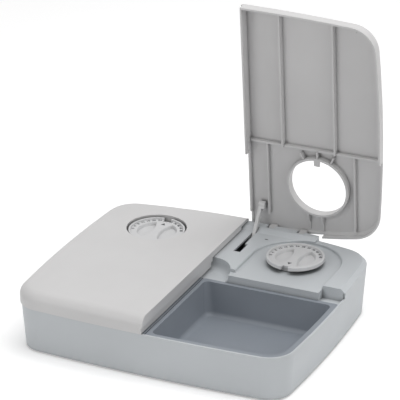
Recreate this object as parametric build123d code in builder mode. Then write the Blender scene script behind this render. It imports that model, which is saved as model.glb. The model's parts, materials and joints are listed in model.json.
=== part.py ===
from build123d import *

import math
import os

os.makedirs("parts", exist_ok=True)

# Frame: millimetres, X right, Y back, Z up, origin on the floor under the middle of the case

# Case outline, seen from above
WIDTH = 320.0
DEPTH = 276.0
FRONT_BOW = 5.5
SIDE_BOW = 5.5
REAR_BOW = 19.0
FRONT_CORNER_R = 30.0
REAR_CORNER_R = 36.0

# Clearances
RUN_FIT = 0.05
PIN_FIT = 0.02
SLIDE_GAP = 0.4
SHAPE_GAP = 0.3
SEAM_GAP = 0.8
LID_GAP = 0.75

# Heights, built up from the floor
FOOT_H = 2.0
RIM_Z = 51.5
LID_TOP_Z = RIM_Z + 19.5
PLATEAU_Z = LID_TOP_Z - 8.0
CHAMFER = 4.5
SHOULDER_Z = PLATEAU_Z - CHAMFER
DISH_Z = PLATEAU_Z - 3.5
BLOCK_Z = PLATEAU_Z + 3.3
LID_SKIRT_Z = RIM_Z + SEAM_GAP
LID_SHOULDER_Z = SHOULDER_Z + 1.7
LID_LIP_Z = BLOCK_Z + 1.1

# Walls, all drawn in from the lid outline
WALL = 2.5
SKIN = 2.0
BODY_INSET = 1.0
BOTTOM_INSET = 5.0
DECK_INSET = BODY_INSET + CHAMFER
CAVITY_INSET = 7.0
LEDGE_INSET = BODY_INSET + WALL
WELL_INSET = LEDGE_INSET + 3.5
BASE_INSET = BOTTOM_INSET + WALL

# Rear half of the case: everything is placed from the hinge at the rear edge
HINGE_Y = DEPTH / 2 - 3.5
HINGE_Z = DISH_Z
BLOCK_Y = DEPTH / 2 - 12.0
RAMP_Y = BLOCK_Y - 8.0
DIAL_Y = HINGE_Y - 64.5
DECK_FRONT_Y = DIAL_Y - 57.5
STEP_Y = DECK_FRONT_Y + 13.5
NOTCH_Y = STEP_Y - 2.0
CAVITY_FRONT_Y = DECK_FRONT_Y + WALL
WELL_REAR_Y = DECK_FRONT_Y - 3.5

# Tray wells
DIVIDER = 2.5
LEDGE_Z = RIM_Z - WALL
WELL_FLOOR_Z = 11.0
WELL_CORNER_R = 8.0

# Deck
CAVITY_TOP_Z = DISH_Z - SKIN
CAVITY_MID_Z = CAVITY_TOP_Z - 11.0
DIAL_X = WIDTH / 2 - 77.0
DISH_R = 50.0
DISH_ROUND = 1.5
SCOOP_R = 29.0
SCOOP_Z = LEDGE_Z + 1.0
SCOOP_ROUND = 7.0
NOTCH_X = DIAL_X + DISH_R
STEP_X = 20.0
BLOCK_X = DIAL_X + 3.0
PLATEAU_END_Y = NOTCH_Y - 2.0

# Hinge
LID_OPEN = 84.4
LUG_XS = (28.0, BLOCK_X - 22.0)
LUG_W = 8.0
LUG_R = 4.4
LUG_FRONT = 4.9
LUG_TOP_T = 1.5
LUG_SLOT_W = LUG_W + 1.0
LUG_ROOM = 0.7
KNUCKLE_R = 5.2
KNUCKLE_W = 20.0
HINGE_PIN_R = 1.5
HINGE_PIN_L = 16.0

# Lift arm
ARM_X = 14.4
ARM_W = 3.6
ARM_H = 6.0
ARM_L = 41.5
ARM_HUB_R = 4.2
ARM_Y = HINGE_Y - 21.0
ARM_Z = HINGE_Z - 4.5
ARM_REST = 180.0
ARM_HEAD_X = 16.0
ARM_HEAD_W = 7.0
ARM_HEAD_R = 4.1
ARM_HEAD_L = 5.5
ARM_HEAD_GAP = 0.25
ARM_PIN_R = 1.5
EAR_T = 4.0
EAR_HALF = 4.0
EAR_IN_X = ARM_X - ARM_W / 2 - SLIDE_GAP
EAR_OUT_X = EAR_IN_X + 8.8
SLOT_X0 = ARM_X - ARM_W / 2 - 0.6
SLOT_X1 = ARM_X + ARM_W / 2 + SLIDE_GAP
SLOT_X2 = ARM_HEAD_X + ARM_HEAD_W / 2 + 0.5
SLOT_Y0 = ARM_Y - ARM_L - ARM_HEAD_R - 3.4
SLOT_Y1 = SLOT_Y0 + 21.5
SLOT_Y2 = ARM_Y + 12.5
SLOT_SKIN = 2.2
SPRING_R = 2.7
SPRING_WIRE_R = 0.45
SPRING_TURNS = 3
SPRING_PITCH = 1.0
SPRING_X = SLOT_X1 + 0.6
SPRING_ROOM_R = 5.5
SPRING_ROOM_Z = ARM_Z + 4.6
SPRING_LEG = 11.0

# Lid
LID_T = 2.2
LID_ROUND = 7.0
LID_INNER_ROUND = 0.7 * LID_ROUND
LIP_STEP = 1.6
LIP_T = 1.85
LIP_TOP_Z = LID_TOP_Z - 11.5
HINGE_ZONE_X = BLOCK_X + 2.0
HINGE_ZONE_Y = RAMP_Y - 2.0
FLANGE_END_Y = DECK_FRONT_Y + SCOOP_R - 3.5
RIB_T = 1.8
RIB_FRONT_Z = DISH_Z + 1.1
RIB_DECK_Z = PLATEAU_Z + SEAM_GAP
LONG_RIBS = (DIAL_X - 40.0, DIAL_X + 21.0)
DECK_RIBS = ((DIAL_X - 59.5, HINGE_ZONE_Y - 1.0), (DIAL_X + 42.5, HINGE_ZONE_Y + 3.0))
CROSS_RIB_Y = STEP_Y - 1.5
CROSS_RIB_T = 2.4
TICK_X = WIDTH / 2 - 31.0
TICK_Y = -DEPTH / 2 + 8.0
TICK_L = 7.0
HOLE_R = 33.5
RING_R = HOLE_R + 2.5
RING_Z = DISH_Z + 1.7
CATCH_W = 6.5
CATCH_R = 26.8
CATCH_TOP_Z = RING_Z + 2.1
GUSSET_Z = RING_Z + 0.8
GUSSET_L = 9.0
GUSSET_DEGREES = (-26.0, 0.0, 26.0)
REAR_GUSSETS = (DIAL_X - 12.0, DIAL_X + 4.0)

# Dial and timer
DIAL_R = HOLE_R - 1.7
DIAL_TOP_Z = LID_TOP_Z - 2.0
DIAL_FLANGE_Z = DIAL_TOP_Z - 4.2
DIAL_NECK_R = 24.0
DIAL_NECK_Z = DISH_Z + 0.7
DIAL_NOTCH_W = 8.4
DIAL_NOTCH_R = DIAL_R - 6.8
DIAL_HOLLOW_R = DIAL_NOTCH_R - 2.5
DIAL_HOLLOW_Z = DIAL_TOP_Z - 2.9
DIAL_RIDGE_W = 9.6
DIAL_WAIST_R = 45.0
DIAL_ROUND = 1.0
SPINDLE_R = 4.0
SPINDLE_TOP_Z = DIAL_FLANGE_Z
CASE_X = 60.0
CASE_Y = 56.0
CASE_TOP_Z = CAVITY_TOP_Z - WALL
CASE_BOTTOM_Z = CASE_TOP_Z - 21.0
CASE_T = 2.0
COVER_T = 2.0
COLLAR_R = 7.0
COLLAR_Z = CASE_TOP_Z - CASE_T - SLIDE_GAP
SPINDLE_BOTTOM_Z = COLLAR_Z - 2.2
EAR_X = 35.0
EAR_Y = 20.0
EAR_R = 4.4
EAR_Z = CASE_TOP_Z - 3.0
TIMER_SCREW_R = 1.1
TIMER_SCREW_TIP_Z = CAVITY_TOP_Z + 0.7
TIMER_HEAD_R = 2.4
TIMER_HEAD_H = 1.6

# Tray
TRAY_FLANGE_Z = LEDGE_Z + SHAPE_GAP
TRAY_T = 1.6
TRAY_BOTTOM_Z = WELL_FLOOR_Z + SHAPE_GAP
TRAY_TOP_GAP = 0.7
TRAY_DRAFT = 3.0
TRAY_BOTTOM_R = 7.0
TRAY_CORNER_R = 11.0
TRAY_FLANGE_R = 3.0
TRAY_X = 0.5

# Base
BASE_TOP_Z = FOOT_H + 3.0
BASE_SCREWS = (
    (DIAL_X - 23.0, -DEPTH / 2 + 68.0),
    (WIDTH / 2 - 23.0, DIAL_Y - 28.0),
    (DIAL_X - 41.0, DIAL_Y + 34.0),
)
BASE_BOSS_R = 4.0
SCREW_R = 1.5
SCREW_HEAD_R = 3.2
SCREW_HEAD_Z = FOOT_H + 0.6
SCREW_NECK_Z = FOOT_H + 2.0
SCREW_TIP_Z = WELL_FLOOR_Z - 1.0
FEET = ((WIDTH / 2 - 36.0, -DEPTH / 2 + 36.0), (WIDTH / 2 - 36.0, DIAL_Y + 18.0))
FOOT_R = 8.0
FOOT_SINK = 1.0

# Battery bay, made round one AA cell
CELL_R = 7.1
CELL_L = 50.0
CELL_TIP_R = 2.6
CELL_TIP_L = 1.2
BAY_Y = DIAL_Y + 13.0
BAY_X_IN = CELL_L + 8.0
BAY_Y_IN = 2 * CELL_R + 2.2
BAY_T = 1.6
CELL_Z = BASE_TOP_Z + CELL_R + SHAPE_GAP
BAY_TOP_Z = CELL_Z + CELL_R + 0.9 + BAY_T
DOOR_X = BAY_X_IN + 4.0
DOOR_Y0 = BAY_Y - 10.5
DOOR_Y1 = BAY_Y + 11.0
DOOR_TRAVEL = 20.0
DOOR_Z0 = FOOT_H + 0.3
DOOR_Z1 = FOOT_H + 2.0
TONGUE = 1.4
TONGUE_Z0 = DOOR_Z1 - 0.8
GRIP_H = 0.8
GRIP_STEP = 3.0
GRIP_W = 1.2
CONTACT_T = 0.6
CONTACT_DROP = 2.0
LEAD_R = 0.7
LEAD_X = BAY_X_IN / 2 - 1.3
LEAD_IN = 1.5

SIDES = (("left", -1), ("right", 1))


def bow_circle(chord, bow):
    """Return the radius of an arc over a chord that bulges by bow."""
    return (chord * chord / 4 + bow * bow) / (2 * bow)


SIDE_X = WIDTH / 2 - SIDE_BOW
FRONT_Y = -DEPTH / 2 + FRONT_BOW
REAR_Y = DEPTH / 2 - REAR_BOW
FRONT_R = bow_circle(2 * SIDE_X, FRONT_BOW)
SIDE_R = bow_circle(REAR_Y - FRONT_Y, SIDE_BOW)
REAR_R = bow_circle(2 * SIDE_X, REAR_BOW)
FRONT_C = (0.0, -DEPTH / 2 + FRONT_R)
SIDE_C = (WIDTH / 2 - SIDE_R, (FRONT_Y + REAR_Y) / 2)
REAR_C = (0.0, DEPTH / 2 - REAR_R)


def corner_centre(c1, r1, c2, r2, upper):
    """Return the meeting point, at X > 0, of two circles, the upper or the lower one."""
    dx, dy = c2[0] - c1[0], c2[1] - c1[1]
    d = math.hypot(dx, dy)
    along = (r1 * r1 - r2 * r2 + d * d) / (2 * d)
    across = math.sqrt(r1 * r1 - along * along)
    points = []
    for sign in (-1, 1):
        points.append((c1[0] + (along * dx - sign * across * dy) / d, c1[1] + (along * dy + sign * across * dx) / d))
    points.sort(key=lambda point: point[1])
    return points[-1] if upper else points[0]


FRONT_CORNER = corner_centre(FRONT_C, FRONT_R - FRONT_CORNER_R, SIDE_C, SIDE_R - FRONT_CORNER_R, False)
REAR_CORNER = corner_centre(REAR_C, REAR_R - REAR_CORNER_R, SIDE_C, SIDE_R - REAR_CORNER_R, True)


def beyond(centre, through, radius):
    """Return the point at radius from centre on the line through another point."""
    dx, dy = through[0] - centre[0], through[1] - centre[1]
    d = math.hypot(dx, dy)
    return centre[0] + dx / d * radius, centre[1] + dy / d * radius


def flip(point):
    """Return the point mirrored to the other side of the case."""
    return -point[0], point[1]


def plan(inset):
    """Return the case outline drawn in by inset: four bowed sides and four round corners."""
    front_end = beyond(FRONT_C, FRONT_CORNER, FRONT_R - inset)
    side_front = beyond(SIDE_C, FRONT_CORNER, SIDE_R - inset)
    side_rear = beyond(SIDE_C, REAR_CORNER, SIDE_R - inset)
    rear_end = beyond(REAR_C, REAR_CORNER, REAR_R - inset)
    front_mid = (FRONT_CORNER[0] + 1, FRONT_CORNER[1] - 1)
    rear_mid = (REAR_CORNER[0] + 1, REAR_CORNER[1] + 1)
    front_round = beyond(FRONT_CORNER, front_mid, FRONT_CORNER_R - inset)
    rear_round = beyond(REAR_CORNER, rear_mid, REAR_CORNER_R - inset)
    side_mid = (WIDTH / 2 - inset, SIDE_C[1])
    with BuildSketch() as outline:
        with BuildLine():
            ThreePointArc(flip(front_end), (0, -DEPTH / 2 + inset), front_end)
            ThreePointArc(front_end, front_round, side_front)
            ThreePointArc(side_front, side_mid, side_rear)
            ThreePointArc(side_rear, rear_round, rear_end)
            ThreePointArc(rear_end, (0, DEPTH / 2 - inset), flip(rear_end))
            ThreePointArc(flip(rear_end), flip(rear_round), flip(side_rear))
            ThreePointArc(flip(side_rear), flip(side_mid), flip(side_front))
            ThreePointArc(flip(side_front), flip(front_round), flip(front_end))
        make_face()
    return outline.sketch


PLANS = {}


def outline_at(inset):
    """Return the case outline drawn in by inset, made once for each inset."""
    if inset not in PLANS:
        PLANS[inset] = plan(inset)
    return PLANS[inset]


def turned(y, z, degrees):
    """Return the point (y, z) of a closed lid after the lid has opened by degrees."""
    c, s = math.cos(math.radians(degrees)), math.sin(math.radians(degrees))
    dy, dz = y - HINGE_Y, z - HINGE_Z
    return HINGE_Y + dy * c + dz * s, HINGE_Z - dy * s + dz * c


def lid_level(z, degrees):
    """Return the horizontal plane at height z of a closed lid, turned open by degrees."""
    y0, z0 = turned(0.0, z, degrees)
    s, c = math.sin(math.radians(degrees)), math.cos(math.radians(degrees))
    return Plane(origin=(0, y0, z0), x_dir=(1, 0, 0), z_dir=(0, s, c))


def lid_upright(x, degrees):
    """Return the plane across X at x of a closed lid, its x axis to the back, turned open by degrees."""
    y0, z0 = turned(0.0, 0.0, degrees)
    s, c = math.sin(math.radians(degrees)), math.cos(math.radians(degrees))
    return Plane(origin=(x, y0, z0), x_dir=(0, c, -s), z_dir=(1, 0, 0))


def arm_open_angle():
    """Return the arm's angle when its head meets the inner face of the open lid."""
    s, c = math.sin(math.radians(LID_OPEN)), math.cos(math.radians(LID_OPEN))
    face_y, face_z = turned(0.0, LID_TOP_Z - LID_T, LID_OPEN)
    depth = s * (ARM_Y - face_y) + c * (ARM_Z - face_z)
    reach = -depth - ARM_HEAD_R - ARM_HEAD_GAP
    return 180.0 - LID_OPEN - math.degrees(math.asin(min(1.0, reach / ARM_L)))


def rear_edge(x):
    """Return the depth of the case's rear edge at x."""
    return REAR_C[1] + math.sqrt(REAR_R * REAR_R - x * x)


def span(x0, x1, y0, y1, mode=Mode.ADD):
    """Add the rectangle between two corners to the sketch that is open."""
    with Locations(((x0 + x1) / 2, (y0 + y1) / 2)):
        Rectangle(abs(x1 - x0), abs(y1 - y0), mode=mode)


def on_dish(edge, side, level):
    """Return whether an edge runs round the dial dish at a height."""
    mid = edge.position_at(0.5)
    dx, dy = mid.X - side * DIAL_X, mid.Y - DIAL_Y
    if abs(mid.Z - level) > RUN_FIT or dy < PLATEAU_END_Y - DIAL_Y:
        return False
    return abs((abs(dx) if dy < 0 else math.hypot(dx, dy)) - DISH_R) < RUN_FIT


def inner_corners(sketch):
    """Return the corners of a tray or well sketch beside the divider and at its rear."""
    return [v for v in sketch.vertices() if abs(v.X) < DIAL_X / 2 or v.Y > 0]


def side_span(side, x0, x1, y0, y1, mode=Mode.ADD):
    """Add a rectangle given for the right-hand side, mirrored for the left."""
    span(side * x0, side * x1, y0, y1, mode=mode)


# The housing: outer walls, two wells, the deck and the hinge block
with BuildPart() as housing:
    with BuildSketch(Plane.XY.offset(FOOT_H)):
        add(outline_at(BOTTOM_INSET))
    with BuildSketch(Plane.XY.offset(SHOULDER_Z)):
        add(outline_at(BODY_INSET))
    loft()
    # The front wall stops at the rim
    with BuildSketch(Plane.XY.offset(RIM_Z)):
        span(-WIDTH, WIDTH, -DEPTH, STEP_Y)
    extrude(amount=LID_TOP_Z, mode=Mode.SUBTRACT)
    # The deck, with a chamfered shoulder that the lid skirt covers
    with BuildSketch(Plane.XY.offset(LEDGE_Z)):
        add(outline_at(LEDGE_INSET))
        span(-WIDTH, WIDTH, DECK_FRONT_Y, DEPTH, mode=Mode.INTERSECT)
    extrude(amount=SHOULDER_Z - LEDGE_Z)
    with BuildSketch(Plane.XY.offset(SHOULDER_Z)):
        add(outline_at(BODY_INSET))
        span(-WIDTH, WIDTH, NOTCH_Y, DEPTH, mode=Mode.INTERSECT)
    with BuildSketch(Plane.XY.offset(PLATEAU_Z)):
        add(outline_at(DECK_INSET))
        span(-WIDTH, WIDTH, NOTCH_Y, DEPTH, mode=Mode.INTERSECT)
    loft()
    with BuildSketch(Plane.XY.offset(SHOULDER_Z)):
        span(-NOTCH_X, NOTCH_X, DECK_FRONT_Y, NOTCH_Y)
    extrude(amount=PLATEAU_Z - SHOULDER_Z)
    # The hinge block with its ramp
    with BuildSketch(Plane.XY.offset(SHOULDER_Z)):
        add(outline_at(BODY_INSET))
        span(-BLOCK_X, BLOCK_X, BLOCK_Y, DEPTH, mode=Mode.INTERSECT)
    extrude(amount=BLOCK_Z - SHOULDER_Z)
    with BuildSketch(Plane.YZ):
        Polygon((RAMP_Y, SHOULDER_Z), (BLOCK_Y, SHOULDER_Z), (BLOCK_Y, BLOCK_Z), (RAMP_Y, PLATEAU_Z), align=None)
    extrude(amount=BLOCK_X, both=True)
    # The ledge that carries both trays
    with BuildSketch(Plane.XY.offset(LEDGE_Z)):
        add(outline_at(LEDGE_INSET))
        span(-WIDTH, WIDTH, -DEPTH, DECK_FRONT_Y, mode=Mode.INTERSECT)
    extrude(amount=LID_TOP_Z, mode=Mode.SUBTRACT)
    for side_name, side in SIDES:
        # The well
        with BuildSketch(Plane.XY.offset(WELL_FLOOR_Z)) as well:
            add(outline_at(WELL_INSET))
            side_span(side, DIVIDER, WIDTH, -DEPTH, WELL_REAR_Y, mode=Mode.INTERSECT)
            fillet(inner_corners(well), radius=WELL_CORNER_R)
        extrude(amount=LID_TOP_Z, mode=Mode.SUBTRACT)
        # The U-shaped dish round the dial, open to the front
        with BuildSketch(Plane.XY.offset(DISH_Z)):
            with Locations((side * DIAL_X, DIAL_Y)):
                Circle(DISH_R)
            side_span(side, DIAL_X - DISH_R, NOTCH_X, -DEPTH / 2, DIAL_Y)
            side_span(side, STEP_X, NOTCH_X, -DEPTH / 2, PLATEAU_END_Y)
        extrude(amount=LID_TOP_Z, mode=Mode.SUBTRACT)
        # Its upper edge and its foot are round
        for level in (PLATEAU_Z, DISH_Z):
            fillet([e for e in housing.edges() if on_dish(e, side, level)], radius=DISH_ROUND)
        # The notch at the outer end of the deck, down to the ledge
        with BuildSketch(Plane.XY.offset(LEDGE_Z)):
            add(outline_at(LEDGE_INSET))
            side_span(side, NOTCH_X, WIDTH, 0, NOTCH_Y, mode=Mode.INTERSECT)
        extrude(amount=LID_TOP_Z, mode=Mode.SUBTRACT)
    # The finger scoop in the middle of the deck, round at the bottom
    with BuildSketch(Plane.XZ.offset(-DECK_FRONT_Y)) as scoop:
        span(0, SCOOP_R, SCOOP_Z, LID_TOP_Z)
        fillet([v for v in scoop.vertices() if v.X > 1 and v.Z < SCOOP_Z + 1], radius=SCOOP_ROUND)
    revolve(axis=Axis((0, DECK_FRONT_Y, 0), (0, 0, 1)), mode=Mode.SUBTRACT)
    # The hollow under the deck, kept clear of the scoop and the notches
    with BuildSketch(Plane.XY.offset(BASE_TOP_Z)):
        add(outline_at(CAVITY_INSET))
        span(-WIDTH, WIDTH, CAVITY_FRONT_Y, DEPTH, mode=Mode.INTERSECT)
    extrude(amount=CAVITY_MID_Z - BASE_TOP_Z, mode=Mode.SUBTRACT)
    with BuildSketch(Plane.XY.offset(CAVITY_MID_Z)):
        add(outline_at(CAVITY_INSET))
        span(-WIDTH, WIDTH, CAVITY_FRONT_Y, DEPTH, mode=Mode.INTERSECT)
        with Locations((0, DECK_FRONT_Y)):
            Circle(SCOOP_R + SKIN, mode=Mode.SUBTRACT)
        for side_name, side in SIDES:
            side_span(side, NOTCH_X - WALL, WIDTH, 0, NOTCH_Y + WALL, mode=Mode.SUBTRACT)
    extrude(amount=CAVITY_TOP_Z - CAVITY_MID_Z, mode=Mode.SUBTRACT)
    # The thin skin round the arm slots
    with BuildSketch(Plane.XY.offset(CAVITY_TOP_Z - 1)):
        for side_name, side in SIDES:
            side_span(side, SLOT_X0 - WALL, SLOT_X2 + WALL, SLOT_Y0 - WALL, ARM_Y - EAR_HALF - WALL)
    extrude(amount=PLATEAU_Z - SLOT_SKIN - CAVITY_TOP_Z + 1, mode=Mode.SUBTRACT)
    # The space under the wells and the seat of the base plate
    with BuildSketch(Plane.XY.offset(BASE_TOP_Z)):
        add(outline_at(BASE_INSET + WALL))
        span(-WIDTH, WIDTH, -DEPTH, CAVITY_FRONT_Y - WALL, mode=Mode.INTERSECT)
    extrude(amount=WELL_FLOOR_Z - SKIN - BASE_TOP_Z, mode=Mode.SUBTRACT)
    with BuildSketch(Plane.XY.offset(FOOT_H)):
        add(outline_at(BASE_INSET))
    extrude(amount=BASE_TOP_Z - FOOT_H, mode=Mode.SUBTRACT)
    for side_name, side in SIDES:
        # Screw bosses for the base
        with BuildSketch(Plane.XY.offset(BASE_TOP_Z)):
            with Locations(*[(side * x, y) for x, y in BASE_SCREWS if y > 0]):
                Circle(BASE_BOSS_R)
        extrude(amount=CAVITY_TOP_Z - BASE_TOP_Z)
        with BuildSketch(Plane.XY.offset(BASE_TOP_Z)):
            with Locations(*[(side * x, y) for x, y in BASE_SCREWS if y < 0]):
                Circle(BASE_BOSS_R)
        extrude(amount=WELL_FLOOR_Z - SKIN - BASE_TOP_Z)
        with BuildSketch(Plane.XY.offset(BASE_TOP_Z)):
            with Locations(*[(side * x, y) for x, y in BASE_SCREWS]):
                Circle(SCREW_R + PIN_FIT)
        extrude(amount=SCREW_TIP_Z + SHAPE_GAP - BASE_TOP_Z, mode=Mode.SUBTRACT)
        # Bosses for the timer screws
        ears = [(side * DIAL_X + sx * EAR_X, DIAL_Y + sy * EAR_Y) for sx in (-1, 1) for sy in (-1, 1)]
        with BuildSketch(Plane.XY.offset(CASE_TOP_Z)):
            with Locations(*ears):
                Circle(EAR_R)
        extrude(amount=CAVITY_TOP_Z - CASE_TOP_Z)
        with BuildSketch(Plane.XY.offset(CASE_TOP_Z)):
            with Locations(*ears):
                Circle(TIMER_SCREW_R + PIN_FIT)
        extrude(amount=TIMER_SCREW_TIP_Z + SHAPE_GAP - CASE_TOP_Z, mode=Mode.SUBTRACT)
        # The hole for the dial spindle
        with BuildSketch(Plane.XY.offset(CASE_TOP_Z)):
            with Locations((side * DIAL_X, DIAL_Y)):
                Circle(SPINDLE_R + 1)
        extrude(amount=PLATEAU_Z, mode=Mode.SUBTRACT)
        # Ears that hold the arm pin
        for x0 in (EAR_IN_X - EAR_T, EAR_OUT_X):
            with BuildSketch(Plane.YZ.offset(side * x0)):
                with Locations((ARM_Y, ARM_Z)):
                    Circle(CAVITY_TOP_Z - ARM_Z + ARM_PIN_R)
                span(ARM_Y - EAR_HALF, ARM_Y + EAR_HALF, ARM_Z, CAVITY_TOP_Z + 1)
            extrude(amount=side * EAR_T)
        with BuildSketch(Plane.YZ.offset(side * (EAR_IN_X - EAR_T))):
            with Locations((ARM_Y, ARM_Z)):
                Circle(ARM_PIN_R + PIN_FIT)
        extrude(amount=side * (EAR_OUT_X - EAR_IN_X + 2 * EAR_T), mode=Mode.SUBTRACT)
        # Room over the arm spring
        with BuildSketch(Plane.XY.offset(CAVITY_TOP_Z - 1)):
            side_span(side, SLOT_X1 - RUN_FIT, EAR_OUT_X, ARM_Y - SPRING_ROOM_R, ARM_Y + SPRING_ROOM_R)
        extrude(amount=SPRING_ROOM_Z - CAVITY_TOP_Z + 1, mode=Mode.SUBTRACT)
        # The stepped slot the arm swings through
        with BuildSketch(Plane.XY.offset(CAVITY_TOP_Z - 1)):
            side_span(side, SLOT_X0, SLOT_X2, SLOT_Y0, SLOT_Y1)
            side_span(side, SLOT_X0, SLOT_X1, SLOT_Y0, SLOT_Y2)
        extrude(amount=LID_TOP_Z, mode=Mode.SUBTRACT)
        # Hinge knuckles with the slots for the lid lugs
        for lug_x in LUG_XS:
            with BuildSketch(Plane.YZ.offset(side * (lug_x - KNUCKLE_W / 2))):
                with Locations((HINGE_Y, HINGE_Z)):
                    Circle(KNUCKLE_R)
                span(BLOCK_Y, HINGE_Y, HINGE_Z - KNUCKLE_R, HINGE_Z)
            extrude(amount=side * KNUCKLE_W)
            with BuildSketch(Plane.YZ.offset(side * (lug_x - LUG_SLOT_W / 2))):
                span(HINGE_Y - LUG_FRONT - LUG_ROOM, DEPTH, HINGE_Z - LUG_R - LUG_ROOM, LID_TOP_Z)
            extrude(amount=side * LUG_SLOT_W, mode=Mode.SUBTRACT)
            with BuildSketch(Plane.YZ.offset(side * (lug_x - HINGE_PIN_L / 2 - PIN_FIT))):
                with Locations((HINGE_Y, HINGE_Z)):
                    Circle(HINGE_PIN_R + PIN_FIT)
            extrude(amount=side * (HINGE_PIN_L + 2 * PIN_FIT), mode=Mode.SUBTRACT)
housing.part.label = "housing"
export_step(housing.part, "parts/housing.step")

# The base plate with a battery bay and a door channel on each side
with BuildPart() as base_plate:
    with BuildSketch(Plane.XY.offset(FOOT_H)):
        add(outline_at(BASE_INSET + SLIDE_GAP))
    extrude(amount=BASE_TOP_Z - FOOT_H)
    for side_name, side in SIDES:
        with BuildSketch(Plane.XY.offset(BASE_TOP_Z)):
            with Locations((side * DIAL_X, BAY_Y)):
                Rectangle(BAY_X_IN + 2 * BAY_T, BAY_Y_IN + 2 * BAY_T)
        extrude(amount=BAY_TOP_Z - BASE_TOP_Z)
        with BuildSketch(Plane.XY.offset(FOOT_H)):
            with Locations((side * DIAL_X, BAY_Y)):
                Rectangle(BAY_X_IN, BAY_Y_IN)
        extrude(amount=BAY_TOP_Z - BAY_T - FOOT_H, mode=Mode.SUBTRACT)
        door_room = DOOR_X / 2 + SLIDE_GAP
        with BuildSketch(Plane.XY.offset(FOOT_H)):
            span(
                side * DIAL_X - door_room,
                side * DIAL_X + door_room,
                DOOR_Y0 - SLIDE_GAP,
                DOOR_Y1 + DOOR_TRAVEL + SLIDE_GAP,
            )
        extrude(amount=DOOR_Z1 + RUN_FIT - FOOT_H, mode=Mode.SUBTRACT)
        with BuildSketch(Plane.XY.offset(TONGUE_Z0 - RUN_FIT)):
            span(
                side * DIAL_X - door_room - TONGUE,
                side * DIAL_X + door_room + TONGUE,
                DOOR_Y0 - SLIDE_GAP,
                DOOR_Y1 + DOOR_TRAVEL + SLIDE_GAP,
            )
        extrude(amount=DOOR_Z1 - TONGUE_Z0 + 2 * RUN_FIT, mode=Mode.SUBTRACT)
        with BuildSketch(Plane.XY.offset(BAY_TOP_Z - BAY_T - 1)):
            with Locations(*[(side * DIAL_X + sx * LEAD_X, BAY_Y) for sx in (-1, 1)]):
                Circle(LEAD_R + SHAPE_GAP)
        extrude(amount=BAY_T + 2, mode=Mode.SUBTRACT)
        screws = [(side * x, y) for x, y in BASE_SCREWS]
        with BuildSketch(Plane.XY.offset(FOOT_H)):
            with Locations(*screws):
                Circle(SCREW_HEAD_R + SHAPE_GAP)
        extrude(amount=SCREW_NECK_Z - FOOT_H, mode=Mode.SUBTRACT)
        with BuildSketch(Plane.XY.offset(FOOT_H)):
            with Locations(*screws):
                Circle(SCREW_R + PIN_FIT)
        extrude(amount=BASE_TOP_Z, mode=Mode.SUBTRACT)
        with BuildSketch(Plane.XY.offset(FOOT_H)):
            with Locations(*[(side * x, y) for x, y in FEET]):
                Circle(FOOT_R + PIN_FIT)
        extrude(amount=FOOT_SINK, mode=Mode.SUBTRACT)
base_plate.part.label = "base_plate"
export_step(base_plate.part, "parts/base_plate.step")

# Rubber feet
with BuildPart() as rubber_feet:
    with BuildSketch(Plane.XY):
        with Locations(*[(side * x, y) for x, y in FEET for side_name, side in SIDES]):
            Circle(FOOT_R)
    extrude(amount=FOOT_H + FOOT_SINK)
rubber_feet.part.label = "rubber_feet"
export_step(rubber_feet.part, "parts/rubber_feet.step")

# Base screws
with BuildPart() as base_screws:
    spots = [(side * x, y) for x, y in BASE_SCREWS for side_name, side in SIDES]
    with BuildSketch(Plane.XY.offset(SCREW_HEAD_Z)):
        with Locations(*spots):
            Circle(SCREW_HEAD_R)
    extrude(amount=SCREW_NECK_Z - SCREW_HEAD_Z)
    with BuildSketch(Plane.XY.offset(SCREW_HEAD_Z)):
        with Locations(*spots):
            Circle(SCREW_R)
    extrude(amount=SCREW_TIP_Z - SCREW_HEAD_Z)
    with BuildSketch(Plane.XY.offset(SCREW_HEAD_Z)):
        with Locations(*spots):
            Rectangle(SCREW_HEAD_R * 1.3, SCREW_R / 2)
            Rectangle(SCREW_R / 2, SCREW_HEAD_R * 1.3)
    extrude(amount=(SCREW_NECK_Z - SCREW_HEAD_Z) / 2, mode=Mode.SUBTRACT)
base_screws.part.label = "base_screws"
export_step(base_screws.part, "parts/base_screws.step")

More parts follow.
